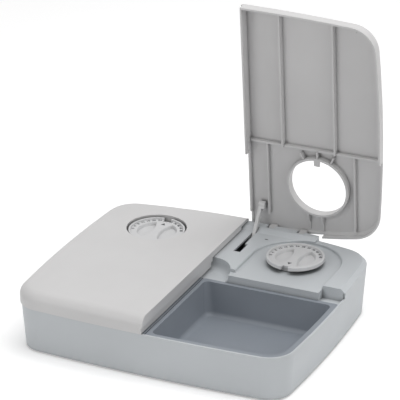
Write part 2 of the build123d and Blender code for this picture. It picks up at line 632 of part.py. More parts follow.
for side_name, side in SIDES:
    lid_angle = LID_OPEN if side > 0 else 0.0
    arm_angle = arm_open_angle() if side > 0 else ARM_REST
    notch_side = -1 if side > 0 else 1
    dial_x = side * DIAL_X

    # The lid, drawn closed on planes that carry its opening angle
    with BuildPart() as lid:
        with BuildSketch(lid_level(LID_SKIRT_Z, lid_angle)):
            add(outline_at(0.0))
            side_span(side, LID_GAP, WIDTH, -DEPTH, DEPTH, mode=Mode.INTERSECT)
        extrude(amount=LID_TOP_Z - LID_SKIRT_Z)
        top = lid.faces().sort_by(Axis((0, 0, 0), lid_level(0, lid_angle).z_dir))[-1]
        rim_edges = [e for e in top.edges() if abs(e.center().X) > LID_GAP + 1]
        fillet(rim_edges, radius=LID_ROUND)
        # The hollow of the lid
        with BuildSketch(lid_level(LID_SKIRT_Z, lid_angle)):
            add(outline_at(LID_T))
            side_span(side, LID_GAP + LIP_STEP + LIP_T, WIDTH, -DEPTH, DEPTH, mode=Mode.INTERSECT)
        extrude(amount=LIP_TOP_Z + LID_T - LID_SKIRT_Z, mode=Mode.SUBTRACT)
        with BuildSketch(lid_level(LIP_TOP_Z + LID_T, lid_angle)):
            add(outline_at(LID_T))
            side_span(side, LID_GAP + LID_T, WIDTH, -DEPTH, DEPTH, mode=Mode.INTERSECT)
        extrude(amount=LID_TOP_Z - LID_INNER_ROUND - LIP_TOP_Z - LID_T, mode=Mode.SUBTRACT)
        with BuildSketch(lid_level(LID_TOP_Z - LID_INNER_ROUND, lid_angle)):
            add(outline_at(LID_T))
            side_span(side, LID_GAP + LID_T, WIDTH, -DEPTH, DEPTH, mode=Mode.INTERSECT)
        with BuildSketch(lid_level(LID_TOP_Z - LID_T, lid_angle)):
            add(outline_at(LID_T * 2.2))
            side_span(side, LID_GAP + LID_T, WIDTH, -DEPTH, DEPTH, mode=Mode.INTERSECT)
        loft(mode=Mode.SUBTRACT)
        # The recessed lip under the middle wall
        with BuildSketch(lid_level(LID_SKIRT_Z, lid_angle)):
            side_span(side, 0, LID_GAP + LIP_STEP, -DEPTH, DEPTH)
        extrude(amount=LIP_TOP_Z - LID_SKIRT_Z, mode=Mode.SUBTRACT)
        # Long ribs, the cross rib and the ring round the dial hole
        with BuildSketch(lid_level(RIB_FRONT_Z, lid_angle)):
            for rib_x in LONG_RIBS:
                side_span(side, rib_x - RIB_T / 2, rib_x + RIB_T / 2, -DEPTH / 2, CROSS_RIB_Y + RIB_T)
            add(outline_at(LID_T), mode=Mode.INTERSECT)
        extrude(amount=LID_TOP_Z - LID_T - RIB_FRONT_Z)
        with BuildSketch(lid_level(RIB_DECK_Z, lid_angle)):
            side_span(side, LID_GAP + LID_T / 2, WIDTH / 2 - LID_T / 2, CROSS_RIB_Y, CROSS_RIB_Y + CROSS_RIB_T)
            for rib_x, rib_end in DECK_RIBS:
                side_span(side, rib_x - RIB_T / 2, rib_x + RIB_T / 2, CROSS_RIB_Y, rib_end)
            side_span(side, TICK_X - RIB_T / 2, TICK_X + RIB_T / 2, TICK_Y, TICK_Y + TICK_L)
            with Locations((dial_x, DIAL_Y)):
                Circle(HOLE_R, mode=Mode.SUBTRACT)
        extrude(amount=LID_TOP_Z - LID_T - RIB_DECK_Z)
        with BuildSketch(lid_level(RING_Z, lid_angle)):
            with Locations((dial_x, DIAL_Y)):
                Circle(RING_R)
                Circle(HOLE_R, mode=Mode.SUBTRACT)
        extrude(amount=LID_TOP_Z - LID_T - RING_Z)
        # Gussets that stand out from the ring, before and behind it
        with BuildSketch(lid_level(GUSSET_Z, lid_angle)):
            reach = (HOLE_R + RING_R) / 2 + GUSSET_L / 2
            for degrees in GUSSET_DEGREES:
                gx, gy = math.sin(math.radians(degrees)) * reach, -math.cos(math.radians(degrees)) * reach
                with Locations((dial_x + gx, DIAL_Y + gy)):
                    Rectangle(GUSSET_L, RIB_T, rotation=degrees - 90)
        extrude(amount=LID_TOP_Z - LID_T - GUSSET_Z)
        for gusset_x in REAR_GUSSETS:
            with BuildSketch(lid_upright(side * gusset_x - RIB_T / 2, lid_angle)):
                Polygon(
                    (DIAL_Y + HOLE_R, GUSSET_Z),
                    (DIAL_Y + RING_R + 2, GUSSET_Z),
                    (BLOCK_Y + 1, LID_TOP_Z - LID_T - 0.8),
                    (BLOCK_Y + 1, LID_TOP_Z - LID_T / 2),
                    (DIAL_Y + HOLE_R, LID_TOP_Z - LID_T / 2),
                    align=None,
                )
            extrude(amount=RIB_T)
        # Skirt heights: shallow over the deck, a thin lip over the hinge block
        with BuildSketch(lid_level(LID_SKIRT_Z - 5, lid_angle)):
            side_span(side, LID_GAP + LIP_STEP + LIP_T + 1, WIDTH, NOTCH_Y, DEPTH)
        extrude(amount=LID_SHOULDER_Z - LID_SKIRT_Z + 5, mode=Mode.SUBTRACT)
        with BuildSketch(lid_level(LID_SKIRT_Z - 5, lid_angle)):
            side_span(side, 0, LID_GAP + LIP_STEP + LIP_T + 2, FLANGE_END_Y, DEPTH)
        extrude(amount=RIB_DECK_Z - LID_SKIRT_Z + 5, mode=Mode.SUBTRACT)
        with BuildSketch(lid_level(LID_SKIRT_Z - 5, lid_angle)):
            side_span(side, 0, HINGE_ZONE_X, HINGE_ZONE_Y, DEPTH)
        extrude(amount=LID_LIP_Z - LID_SKIRT_Z + 5, mode=Mode.SUBTRACT)
        # The dial hole and the catch that the dial holds down
        with BuildSketch(lid_level(RING_Z - 1, lid_angle)):
            with Locations((dial_x, DIAL_Y)):
                Circle(HOLE_R)
        extrude(amount=LID_TOP_Z, mode=Mode.SUBTRACT)
        with BuildSketch(lid_level(RING_Z, lid_angle)):
            span(
                dial_x - CATCH_W / 2,
                dial_x + CATCH_W / 2,
                DIAL_Y + notch_side * (HOLE_R + 1),
                DIAL_Y + notch_side * CATCH_R,
            )
        extrude(amount=CATCH_TOP_Z - RING_Z)
        # Hinge lugs
        for lug_x in LUG_XS:
            lug_front = HINGE_Y - LUG_FRONT
            lug_rear = max(rear_edge(lug_x) - 2 * LID_T, lug_front + LUG_TOP_T)
            with BuildSketch(lid_upright(side * lug_x - LUG_W / 2, lid_angle)):
                with BuildLine():
                    Polyline(
                        (lug_front, LID_TOP_Z - LUG_TOP_T),
                        (lug_rear, LID_TOP_Z - LUG_TOP_T),
                        (HINGE_Y + LUG_R, HINGE_Z),
                        (HINGE_Y - LUG_R, HINGE_Z),
                        (lug_front, LID_TOP_Z - LUG_TOP_T),
                    )
                make_face()
                with Locations((HINGE_Y, HINGE_Z)):
                    Circle(LUG_R)
                    Circle(HINGE_PIN_R + RUN_FIT, mode=Mode.SUBTRACT)
            extrude(amount=LUG_W)
    lid.part.label = "lid_" + side_name
    export_step(lid.part, "parts/lid_" + side_name + ".step")

    # Hinge pins
    with BuildPart() as hinge_pins:
        for lug_x in LUG_XS:
            with BuildSketch(Plane.YZ.offset(side * lug_x - HINGE_PIN_L / 2)):
                with Locations((HINGE_Y, HINGE_Z)):
                    Circle(HINGE_PIN_R)
            extrude(amount=HINGE_PIN_L)
    hinge_pins.part.label = "hinge_pins_" + side_name
    export_step(hinge_pins.part, "parts/hinge_pins_" + side_name + ".step")

    # The hollow of the meal tray, cut out of it below
    top_gap = DIVIDER + TRAY_TOP_GAP
    with BuildPart() as tray_hollow:
        with BuildSketch(Plane.XY.offset(TRAY_BOTTOM_Z + TRAY_T)) as floor:
            add(outline_at(WELL_INSET + TRAY_TOP_GAP + TRAY_DRAFT + TRAY_T))
            rear_y = WELL_REAR_Y - TRAY_TOP_GAP - TRAY_DRAFT - TRAY_T
            side_span(side, top_gap + TRAY_DRAFT + TRAY_T, WIDTH, -DEPTH, rear_y, mode=Mode.INTERSECT)
            fillet(inner_corners(floor), radius=TRAY_CORNER_R - TRAY_T)
        with BuildSketch(Plane.XY.offset(TRAY_FLANGE_Z + TRAY_T)) as mouth:
            add(outline_at(WELL_INSET + TRAY_TOP_GAP + TRAY_T))
            rear_y = WELL_REAR_Y - TRAY_TOP_GAP - TRAY_T
            side_span(side, top_gap + TRAY_T, WIDTH, -DEPTH, rear_y, mode=Mode.INTERSECT)
            fillet(inner_corners(mouth), radius=WELL_CORNER_R - TRAY_T)
        loft()
        fillet(tray_hollow.faces().sort_by(Axis.Z)[0].edges(), radius=TRAY_BOTTOM_R - TRAY_T)

    # The meal tray
    with BuildPart() as tray:
        with BuildSketch(Plane.XY.offset(TRAY_BOTTOM_Z)) as floor:
            add(outline_at(WELL_INSET + TRAY_TOP_GAP + TRAY_DRAFT))
            rear_y = WELL_REAR_Y - TRAY_TOP_GAP - TRAY_DRAFT
            side_span(side, top_gap + TRAY_DRAFT, WIDTH, -DEPTH, rear_y, mode=Mode.INTERSECT)
            fillet(inner_corners(floor), radius=TRAY_CORNER_R)
        with BuildSketch(Plane.XY.offset(TRAY_FLANGE_Z)) as mouth:
            add(outline_at(WELL_INSET + TRAY_TOP_GAP))
            side_span(side, top_gap, WIDTH, -DEPTH, WELL_REAR_Y - TRAY_TOP_GAP, mode=Mode.INTERSECT)
            fillet(inner_corners(mouth), radius=WELL_CORNER_R)
        loft()
        fillet(tray.faces().sort_by(Axis.Z)[0].edges(), radius=TRAY_BOTTOM_R)
        with BuildSketch(Plane.XY.offset(TRAY_FLANGE_Z)) as flange:
            add(outline_at(LEDGE_INSET + SLIDE_GAP))
            side_span(side, TRAY_X, WIDTH, -DEPTH, DECK_FRONT_Y - SLIDE_GAP, mode=Mode.INTERSECT)
            fillet([v for v in flange.vertices() if v.Y > 0], radius=TRAY_FLANGE_R)
        extrude(amount=TRAY_T)
        add(tray_hollow.part, mode=Mode.SUBTRACT)
    tray.part.label = "meal_tray_" + side_name
    export_step(tray.part, "parts/meal_tray_" + side_name + ".step")

    # The timer dial: a flange with a notch, two finger hollows and a ridge between them
    with BuildPart() as dial:
        with BuildSketch(Plane.XY.offset(DIAL_FLANGE_Z)):
            with Locations((dial_x, DIAL_Y)):
                Circle(DIAL_R)
        extrude(amount=DIAL_TOP_Z - DIAL_FLANGE_Z)
        fillet(dial.faces().sort_by(Axis.Z)[-1].edges(), radius=DIAL_ROUND)
        with BuildSketch(Plane.XY.offset(DIAL_NECK_Z)):
            with Locations((dial_x, DIAL_Y)):
                Circle(DIAL_NECK_R)
        extrude(amount=DIAL_FLANGE_Z - DIAL_NECK_Z)
        with BuildSketch(Plane.XY.offset(DIAL_FLANGE_Z)):
            span(
                dial_x - DIAL_NOTCH_W / 2,
                dial_x + DIAL_NOTCH_W / 2,
                DIAL_Y + notch_side * DIAL_NOTCH_R,
                DIAL_Y + notch_side * (DIAL_R + 1),
            )
        extrude(amount=DIAL_TOP_Z, mode=Mode.SUBTRACT)
        for hollow_side in (-1, 1):
            with BuildSketch(Plane.XY.offset(DIAL_HOLLOW_Z)):
                with Locations((dial_x, DIAL_Y)):
                    Circle(DIAL_HOLLOW_R)
                with Locations((dial_x + hollow_side * (DIAL_RIDGE_W / 2 + DIAL_WAIST_R), DIAL_Y)):
                    Circle(DIAL_WAIST_R, mode=Mode.INTERSECT)
            extrude(amount=DIAL_TOP_Z, mode=Mode.SUBTRACT)
        with BuildSketch(Plane.XY.offset(DIAL_NECK_Z)):
            with Locations((dial_x, DIAL_Y)):
                Circle(SPINDLE_R)
        extrude(amount=SPINDLE_TOP_Z - DIAL_NECK_Z, mode=Mode.SUBTRACT)
    dial.part.label = "dial_" + side_name
    export_step(dial.part, "parts/dial_" + side_name + ".step")

    # The spindle that carries the dial
    with BuildPart() as spindle:
        with BuildSketch(Plane.XY.offset(SPINDLE_BOTTOM_Z)):
            with Locations((dial_x, DIAL_Y)):
                Circle(SPINDLE_R)
        extrude(amount=SPINDLE_TOP_Z - SPINDLE_BOTTOM_Z)
        with BuildSketch(Plane.XY.offset(SPINDLE_BOTTOM_Z)):
            with Locations((dial_x, DIAL_Y)):
                Circle(COLLAR_R)
        extrude(amount=COLLAR_Z - SPINDLE_BOTTOM_Z)
    spindle.part.label = "dial_spindle_" + side_name
    export_step(spindle.part, "parts/dial_spindle_" + side_name + ".step")

    # The timer case with four screw ears
    ears = [(dial_x + sx * EAR_X, DIAL_Y + sy * EAR_Y) for sx in (-1, 1) for sy in (-1, 1)]
    with BuildPart() as timer_case:
        with BuildSketch(Plane.XY.offset(CASE_BOTTOM_Z)):
            with Locations((dial_x, DIAL_Y)):
                RectangleRounded(CASE_X, CASE_Y, EAR_R)
        extrude(amount=CASE_TOP_Z - CASE_BOTTOM_Z)
        with BuildSketch(Plane.XY.offset(EAR_Z)):
            with Locations(*ears):
                Circle(EAR_R)
                Rectangle(EAR_R * 2.4, EAR_R)
        extrude(amount=CASE_TOP_Z - EAR_Z)
        with BuildSketch(Plane.XY.offset(CASE_BOTTOM_Z)):
            with Locations((dial_x, DIAL_Y)):
                RectangleRounded(CASE_X - 2 * CASE_T, CASE_Y - 2 * CASE_T, EAR_R - CASE_T)
        extrude(amount=CASE_TOP_Z - CASE_T - CASE_BOTTOM_Z, mode=Mode.SUBTRACT)
        with BuildSketch(Plane.XY.offset(EAR_Z)):
            with Locations((dial_x, DIAL_Y)):
                Circle(SPINDLE_R + RUN_FIT)
            with Locations(*ears):
                Circle(TIMER_SCREW_R + PIN_FIT)
        extrude(amount=CASE_TOP_Z, mode=Mode.SUBTRACT)
    timer_case.part.label = "timer_case_" + side_name
    export_step(timer_case.part, "parts/timer_case_" + side_name + ".step")

    # The timer cover with a lip inside the case
    with BuildPart() as timer_cover:
        with BuildSketch(Plane.XY.offset(CASE_BOTTOM_Z - COVER_T)):
            with Locations((dial_x, DIAL_Y)):
                RectangleRounded(CASE_X, CASE_Y, EAR_R)
        extrude(amount=COVER_T)
        with BuildSketch(Plane.XY.offset(CASE_BOTTOM_Z)):
            with Locations((dial_x, DIAL_Y)):
                RectangleRounded(CASE_X - 2 * CASE_T - RUN_FIT * 2, CASE_Y - 2 * CASE_T - RUN_FIT * 2, EAR_R - CASE_T)
                Rectangle(CASE_X - 4 * CASE_T, CASE_Y - 4 * CASE_T, mode=Mode.SUBTRACT)
        extrude(amount=COVER_T)
    timer_cover.part.label = "timer_cover_" + side_name
    export_step(timer_cover.part, "parts/timer_cover_" + side_name + ".step")

    # Screws that hold the timer under the deck
    with BuildPart() as timer_screws:
        with BuildSketch(Plane.XY.offset(EAR_Z - TIMER_HEAD_H)):
            with Locations(*ears):
                Circle(TIMER_HEAD_R)
        extrude(amount=TIMER_HEAD_H)
        with BuildSketch(Plane.XY.offset(EAR_Z)):
            with Locations(*ears):
                Circle(TIMER_SCREW_R)
        extrude(amount=TIMER_SCREW_TIP_Z - EAR_Z)
    timer_screws.part.label = "timer_screws_" + side_name
    export_step(timer_screws.part, "parts/timer_screws_" + side_name + ".step")

    # The arm that lifts the lid: hub, blade and a wider rounded head
    arm_dir = (0, math.cos(math.radians(arm_angle)), math.sin(math.radians(arm_angle)))
    with BuildPart() as arm:
        blade_x = side * ARM_X - ARM_W / 2
        with BuildSketch(Plane(origin=(blade_x, ARM_Y, ARM_Z), x_dir=arm_dir, z_dir=(1, 0, 0))):
            Circle(ARM_HUB_R)
            span(0, ARM_L, -ARM_H / 2, ARM_H / 2)
            Circle(ARM_PIN_R + RUN_FIT, mode=Mode.SUBTRACT)
        extrude(amount=ARM_W)
        head_x = side * ARM_HEAD_X - ARM_HEAD_W / 2
        with BuildSketch(Plane(origin=(head_x, ARM_Y, ARM_Z), x_dir=arm_dir, z_dir=(1, 0, 0))):
            with Locations((ARM_L, 0)):
                Circle(ARM_HEAD_R)
            span(ARM_L - ARM_HEAD_L, ARM_L, -ARM_H / 2, ARM_H / 2)
        extrude(amount=ARM_HEAD_W)
    arm.part.label = "lift_arm_" + side_name
    export_step(arm.part, "parts/lift_arm_" + side_name + ".step")

    # The pivot pin of the arm
    with BuildPart() as arm_pin:
        with BuildSketch(Plane.YZ.offset(side * (EAR_IN_X - EAR_T + SHAPE_GAP))):
            with Locations((ARM_Y, ARM_Z)):
                Circle(ARM_PIN_R)
        extrude(amount=side * (EAR_OUT_X - EAR_IN_X + 2 * (EAR_T - SHAPE_GAP)))
    arm_pin.part.label = "arm_pin_" + side_name
    export_step(arm_pin.part, "parts/arm_pin_" + side_name + ".step")

    # The torsion spring beside the blade, wound for the left and mirrored for the right
    with BuildPart() as arm_spring:
        with BuildLine() as wire:
            Helix(
                pitch=SPRING_PITCH,
                height=SPRING_TURNS * SPRING_PITCH,
                radius=SPRING_R,
                center=(-SPRING_X, ARM_Y, ARM_Z),
                direction=(-1, 0, 0),
            )
        with BuildSketch(Plane(origin=wire.line @ 0, z_dir=wire.line % 0)):
            Circle(SPRING_WIRE_R)
        sweep(is_frenet=True)
        for leg_at, leg_dir in ((wire.line @ 0, (wire.line % 0) * -1), (wire.line @ 1, wire.line % 1)):
            with BuildSketch(Plane(origin=leg_at, z_dir=leg_dir)):
                Circle(SPRING_WIRE_R)
            extrude(amount=SPRING_LEG)
        if side > 0:
            mirror(about=Plane.YZ, mode=Mode.REPLACE)
    arm_spring.part.label = "arm_spring_" + side_name
    export_step(arm_spring.part, "parts/arm_spring_" + side_name + ".step")

    # The dry cell with its tip
    with BuildPart() as battery:
        with BuildSketch(Plane.YZ.offset(dial_x - CELL_L / 2)):
            with Locations((BAY_Y, CELL_Z)):
                Circle(CELL_R)
        extrude(amount=CELL_L)
        with BuildSketch(Plane.YZ.offset(dial_x + CELL_L / 2)):
            with Locations((BAY_Y, CELL_Z)):
                Circle(CELL_TIP_R)
        extrude(amount=CELL_TIP_L)
    battery.part.label = "battery_" + side_name
    export_step(battery.part, "parts/battery_" + side_name + ".step")

    # Contact plates, each with a boss against the cell
    with BuildPart() as battery_contacts:
        for end_side, tip in ((-1, 0.0), (1, CELL_TIP_L)):
            wall_x = dial_x + end_side * BAY_X_IN / 2
            with BuildSketch(Plane.YZ.offset(wall_x)):
                span(
                    BAY_Y - BAY_Y_IN / 4,
                    BAY_Y + BAY_Y_IN / 4,
                    CELL_Z - CONTACT_DROP,
                    BAY_TOP_Z - BAY_T - SHAPE_GAP,
                )
            extrude(amount=-end_side * CONTACT_T)
            with BuildSketch(Plane.YZ.offset(wall_x)):
                with Locations((BAY_Y, CELL_Z)):
                    Circle(CELL_TIP_R)
            extrude(amount=-end_side * (BAY_X_IN / 2 - CELL_L / 2 - tip))
    battery_contacts.part.label = "battery_contacts_" + side_name
    export_step(battery_contacts.part, "parts/battery_contacts_" + side_name + ".step")

    # Leads from the contacts up to the timer
    with BuildPart() as battery_leads:
        with BuildSketch(Plane.XY.offset(BAY_TOP_Z - BAY_T - LEAD_IN)):
            with Locations(*[(dial_x + sx * LEAD_X, BAY_Y) for sx in (-1, 1)]):
                Circle(LEAD_R)
        extrude(amount=CASE_BOTTOM_Z - COVER_T - BAY_TOP_Z + BAY_T + LEAD_IN)
    battery_leads.part.label = "battery_leads_" + side_name
    export_step(battery_leads.part, "parts/battery_leads_" + side_name + ".step")

    # The battery door with tongues at both sides and grip ridges
    with BuildPart() as battery_door:
        with BuildSketch(Plane.XY.offset(DOOR_Z0)):
            span(dial_x - DOOR_X / 2, dial_x + DOOR_X / 2, DOOR_Y0, DOOR_Y1)
        extrude(amount=DOOR_Z1 - DOOR_Z0)
        with BuildSketch(Plane.XY.offset(TONGUE_Z0)):
            span(dial_x - DOOR_X / 2 - TONGUE, dial_x + DOOR_X / 2 + TONGUE, DOOR_Y0, DOOR_Y1)
        extrude(amount=DOOR_Z1 - TONGUE_Z0)
        with BuildSketch(Plane.XY.offset(DOOR_Z0 - GRIP_H)):
            with Locations(*[(dial_x, DOOR_Y0 + (n + 1) * GRIP_STEP) for n in range(3)]):
                Rectangle(DOOR_X / 3, GRIP_W)
        extrude(amount=GRIP_H)
    battery_door.part.label = "battery_door_" + side_name
    export_step(battery_door.part, "parts/battery_door_" + side_name + ".step")
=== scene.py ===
"""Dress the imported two-meal pet feeder: studio, finishes and the fine pieces that ride on its bodies."""

from __future__ import annotations

import json
import logging
import math
from dataclasses import dataclass
from enum import Enum

import bmesh
import bpy
from mathutils import Matrix, Vector

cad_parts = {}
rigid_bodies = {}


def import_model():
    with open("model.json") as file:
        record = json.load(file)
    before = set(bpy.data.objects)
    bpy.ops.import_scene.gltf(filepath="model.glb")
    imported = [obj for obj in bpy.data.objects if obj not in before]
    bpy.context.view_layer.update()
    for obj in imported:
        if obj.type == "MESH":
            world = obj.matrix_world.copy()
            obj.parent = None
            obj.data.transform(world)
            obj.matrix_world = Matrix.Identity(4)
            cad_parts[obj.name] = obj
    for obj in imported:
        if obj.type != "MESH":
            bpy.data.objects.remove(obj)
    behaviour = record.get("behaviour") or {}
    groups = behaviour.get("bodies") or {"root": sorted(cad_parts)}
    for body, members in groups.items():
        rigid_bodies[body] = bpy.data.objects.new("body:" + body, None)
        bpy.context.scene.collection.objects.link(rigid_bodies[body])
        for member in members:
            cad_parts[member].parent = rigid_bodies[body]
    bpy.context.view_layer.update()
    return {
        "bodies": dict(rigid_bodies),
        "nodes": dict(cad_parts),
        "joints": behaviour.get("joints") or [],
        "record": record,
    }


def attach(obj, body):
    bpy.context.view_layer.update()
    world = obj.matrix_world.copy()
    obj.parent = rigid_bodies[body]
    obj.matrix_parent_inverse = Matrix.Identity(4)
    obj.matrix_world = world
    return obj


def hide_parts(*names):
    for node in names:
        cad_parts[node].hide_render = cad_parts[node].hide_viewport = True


LOG = logging.getLogger("feeder")
MM = 0.001
Colour = tuple[float, float, float]
Place = tuple[float, float, float]
Point = tuple[float, float]
Span = tuple[float, float]
WHITE = (1.0, 1.0, 1.0)
EVEN = (1.0, 1.0, 1.0)


def srgb(red: int, green: int, blue: int) -> Colour:
    """Turn a display colour into the linear values that a shader takes.

    Args:
        red: Red, 0 to 255.
        green: Green, 0 to 255.
        blue: Blue, 0 to 255.

    Returns:
        The linear colour.
    """

    def linear(value: int) -> float:
        """Linear value of one channel."""
        v = value / 255.0
        return v / 12.92 if v <= 0.04045 else ((v + 0.055) / 1.055) ** 2.4

    return linear(red), linear(green), linear(blue)


class Side(Enum):
    """The two halves of the feeder, seen from the front."""

    LEFT = -1
    RIGHT = 1

    @property
    def word(self) -> str:
        """The side's name as the CAD nodes spell it."""
        return self.name.lower()

    @property
    def sign(self) -> int:
        """Minus one on the left, one on the right."""
        return self.value


class Grain(Enum):
    """How the mould's surface was finished: noise scale per metre and depth in metres."""

    SATIN = (1400.0, 0.000012)
    SPARK = (2300.0, 0.00003)
    COARSE = (1300.0, 0.00007)

    @property
    def scale(self) -> float:
        """Noise scale per metre."""
        return self.value[0]

    @property
    def depth(self) -> float:
        """Depth of the bump in metres."""
        return self.value[1]


class NodeSheet:
    """A material's node tree with short calls for the nodes that the finishes share."""

    noise_span: Span = (0.25, 0.75)
    tint_span: Span = (0.3, 0.7)
    open_span: Span = (0.15, 0.8)
    open_samples: int = 8

    def __init__(self, name: str) -> None:
        """Start a material.

        Args:
            name: The material's name.
        """
        self.material = bpy.data.materials.new(name)
        self.material.use_nodes = True
        self.tree = self.material.node_tree
        self.shader = self.tree.nodes["Principled BSDF"]
        self.place = self.add("ShaderNodeTexCoord").outputs["Object"]

    def add(self, kind: str, **values: object) -> bpy.types.Node:
        """Add a node and set its properties.

        Args:
            kind: Blender's name of the node type.
            **values: Properties of the node.

        Returns:
            The new node.
        """
        node = self.tree.nodes.new(kind)
        for name, value in values.items():
            setattr(node, name, value)
        return node

    def link(self, source: bpy.types.NodeSocket, target: bpy.types.NodeSocket) -> None:
        """Join two sockets."""
        self.tree.links.new(source, target)

    def noise(self, scale: float, detail: float = 2.0, stretch: Place = EVEN) -> bpy.types.NodeSocket:
        """Add noise in object space.

        Args:
            scale: Noise scale per metre.
            detail: Octaves of detail.
            stretch: Scale along each axis.

        Returns:
            The noise value's socket.
        """
        mapping = self.add("ShaderNodeMapping")
        mapping.inputs["Scale"].default_value = stretch
        self.link(self.place, mapping.inputs["Vector"])
        node = self.add("ShaderNodeTexNoise")
        node.inputs["Scale"].default_value = scale
        node.inputs["Detail"].default_value = detail
        self.link(mapping.outputs["Vector"], node.inputs["Vector"])
        return node.outputs["Fac"]

    def spread(self, value: bpy.types.NodeSocket, given: Span, wanted: Span) -> bpy.types.NodeSocket:
        """Map one range of a value to another.

        Args:
            value: The socket to map.
            given: The range that it is read over.
            wanted: The results at the ends of that range.

        Returns:
            The mapped value's socket.
        """
        node = self.add("ShaderNodeMapRange")
        node.inputs["From Min"].default_value, node.inputs["From Max"].default_value = given
        node.inputs["To Min"].default_value, node.inputs["To Max"].default_value = wanted
        self.link(value, node.inputs["Value"])
        return node.outputs["Result"]

    def rough(self, noise: bpy.types.NodeSocket, wanted: Span) -> None:
        """Let the roughness vary between two values with a noise."""
        self.link(self.spread(noise, self.noise_span, wanted), self.shader.inputs["Roughness"])

    def tint(self, value: bpy.types.NodeSocket, dark: Colour, light: Colour) -> bpy.types.NodeSocket:
        """Blend two colours by a value.

        Args:
            value: The socket that blends.
            dark: Colour at the low end of tint_span.
            light: Colour at its high end.

        Returns:
            The colour's socket.
        """
        node = self.add("ShaderNodeValToRGB")
        for stop, position, colour in zip(node.color_ramp.elements, self.tint_span, (dark, light)):
            stop.position = position
            stop.color = (*colour, 1.0)
        self.link(value, node.inputs["Fac"])
        return node.outputs["Color"]

    def cavity(self, colour: bpy.types.NodeSocket, floor: float, reach: float) -> bpy.types.NodeSocket:
        """Paint shade into a colour in gaps and inner corners, by ambient occlusion.

        Args:
            colour: The colour's socket.
            floor: What is left of the colour in the deepest gap.
            reach: How far off, in metres, a neighbour still darkens.

        Returns:
            The colour's socket, with the painted shade.
        """
        # Painted shade: ambient occlusion scales the colour down near other surfaces.
        near = self.add("ShaderNodeAmbientOcclusion", samples=self.open_samples)
        near.inputs["Distance"].default_value = reach
        mix = self.add("ShaderNodeVectorMath", operation="SCALE")
        self.link(colour, mix.inputs[0])
        self.link(self.spread(near.outputs["AO"], self.open_span, (floor, 1.0)), mix.inputs["Scale"])
        return mix.outputs["Vector"]

    def bump(self, height: bpy.types.NodeSocket, depth: float) -> None:
        """Roughen the surface by a height value.

        Args:
            height: The height's socket.
            depth: Depth in metres.
        """
        node = self.add("ShaderNodeBump")
        node.inputs["Strength"].default_value = 1.0
        node.inputs["Distance"].default_value = depth
        self.link(height, node.inputs["Height"])
        self.link(node.outputs["Normal"], self.shader.inputs["Normal"])


def shade(colour: Colour, factor: float) -> Colour:
    """A colour made lighter or darker by a factor."""
    return colour[0] * factor, colour[1] * factor, colour[2] * factor


def around(value: float, spread: Span) -> Span:
    """The range that lies round a value."""
    return value + spread[0], value + spread[1]


@dataclass(frozen=True)
class MouldedPlastic:
    """An injection-moulded plastic: slight flow mottling, the mould's grain, uneven gloss, and painted shade
    that darkens gaps and inner corners.
    """

    name: str
    colour: Colour
    roughness: float = 0.42
    grain: Grain = Grain.SATIN
    mottle: float = 0.03
    coat: float = 0.0
    # How much colour the painted shade leaves in the deepest gap, and how far off it reaches.
    cavity: float = 0.55
    reach: float = 0.005
    cloud_scale: float = 14.0
    streak_scale: float = 60.0
    streak_stretch: Place = (1.0, 0.35, 1.0)
    gloss_spread: Span = (-0.05, 0.06)
    ior: float = 1.49
    coat_roughness: float = 0.2

    def make(self) -> bpy.types.Material:
        """Build the material.

        Returns:
            The material.
        """
        sheet = NodeSheet(self.name)
        cloud = sheet.noise(self.cloud_scale, detail=3.0)
        tone = sheet.tint(cloud, shade(self.colour, 1.0 - self.mottle), shade(self.colour, 1.0 + self.mottle))
        # The base colour gets painted shade in gaps and inner corners.
        sheet.link(sheet.cavity(tone, self.cavity, self.reach), sheet.shader.inputs["Base Color"])
        streak = sheet.noise(self.streak_scale, detail=3.0, stretch=self.streak_stretch)
        sheet.rough(streak, around(self.roughness, self.gloss_spread))
        sheet.bump(sheet.noise(self.grain.scale), self.grain.depth)
        sheet.shader.inputs["IOR"].default_value = self.ior
        sheet.shader.inputs["Coat Weight"].default_value = self.coat
        sheet.shader.inputs["Coat Roughness"].default_value = self.coat_roughness
        return sheet.material


@dataclass(frozen=True)
class DrawnSteel:
    """Plated steel wire and screws, with fine draw marks."""

    name: str
    colour: Colour = srgb(176, 178, 180)
    roughness: float = 0.3
    gloss_spread: Span = (-0.08, 0.12)
    mark_scale: float = 900.0
    mark_stretch: Place = (0.15, 1.0, 1.0)
    mark_depth: float = 0.00001
    dull: float = 0.85
    bright: float = 1.1

    def make(self) -> bpy.types.Material:
        """Build the material.

        Returns:
            The material.
        """
        sheet = NodeSheet(self.name)
        marks = sheet.noise(self.mark_scale, detail=3.0, stretch=self.mark_stretch)
        tone = sheet.tint(marks, shade(self.colour, self.dull), shade(self.colour, self.bright))
        sheet.link(tone, sheet.shader.inputs["Base Color"])
        sheet.rough(marks, around(self.roughness, self.gloss_spread))
        sheet.shader.inputs["Metallic"].default_value = 1.0
        sheet.bump(marks, self.mark_depth)
        return sheet.material


@dataclass(frozen=True)
class FootRubber:
    """Black rubber with a dusty bloom."""

    name: str
    colour: Colour = srgb(38, 38, 39)
    bloom_scale: float = 220.0
    bloom: float = 1.8
    roughness: Span = (0.7, 0.92)
    grain_scale: float = 2600.0
    grain_depth: float = 0.00003

    def make(self) -> bpy.types.Material:
        """Build the material.

        Returns:
            The material.
        """
        sheet = NodeSheet(self.name)
        bloom = sheet.noise(self.bloom_scale, detail=4.0)
        tone = sheet.tint(bloom, self.colour, shade(self.colour, self.bloom))
        sheet.link(tone, sheet.shader.inputs["Base Color"])
        sheet.rough(bloom, self.roughness)
        sheet.bump(sheet.noise(self.grain_scale), self.grain_depth)
        return sheet.material


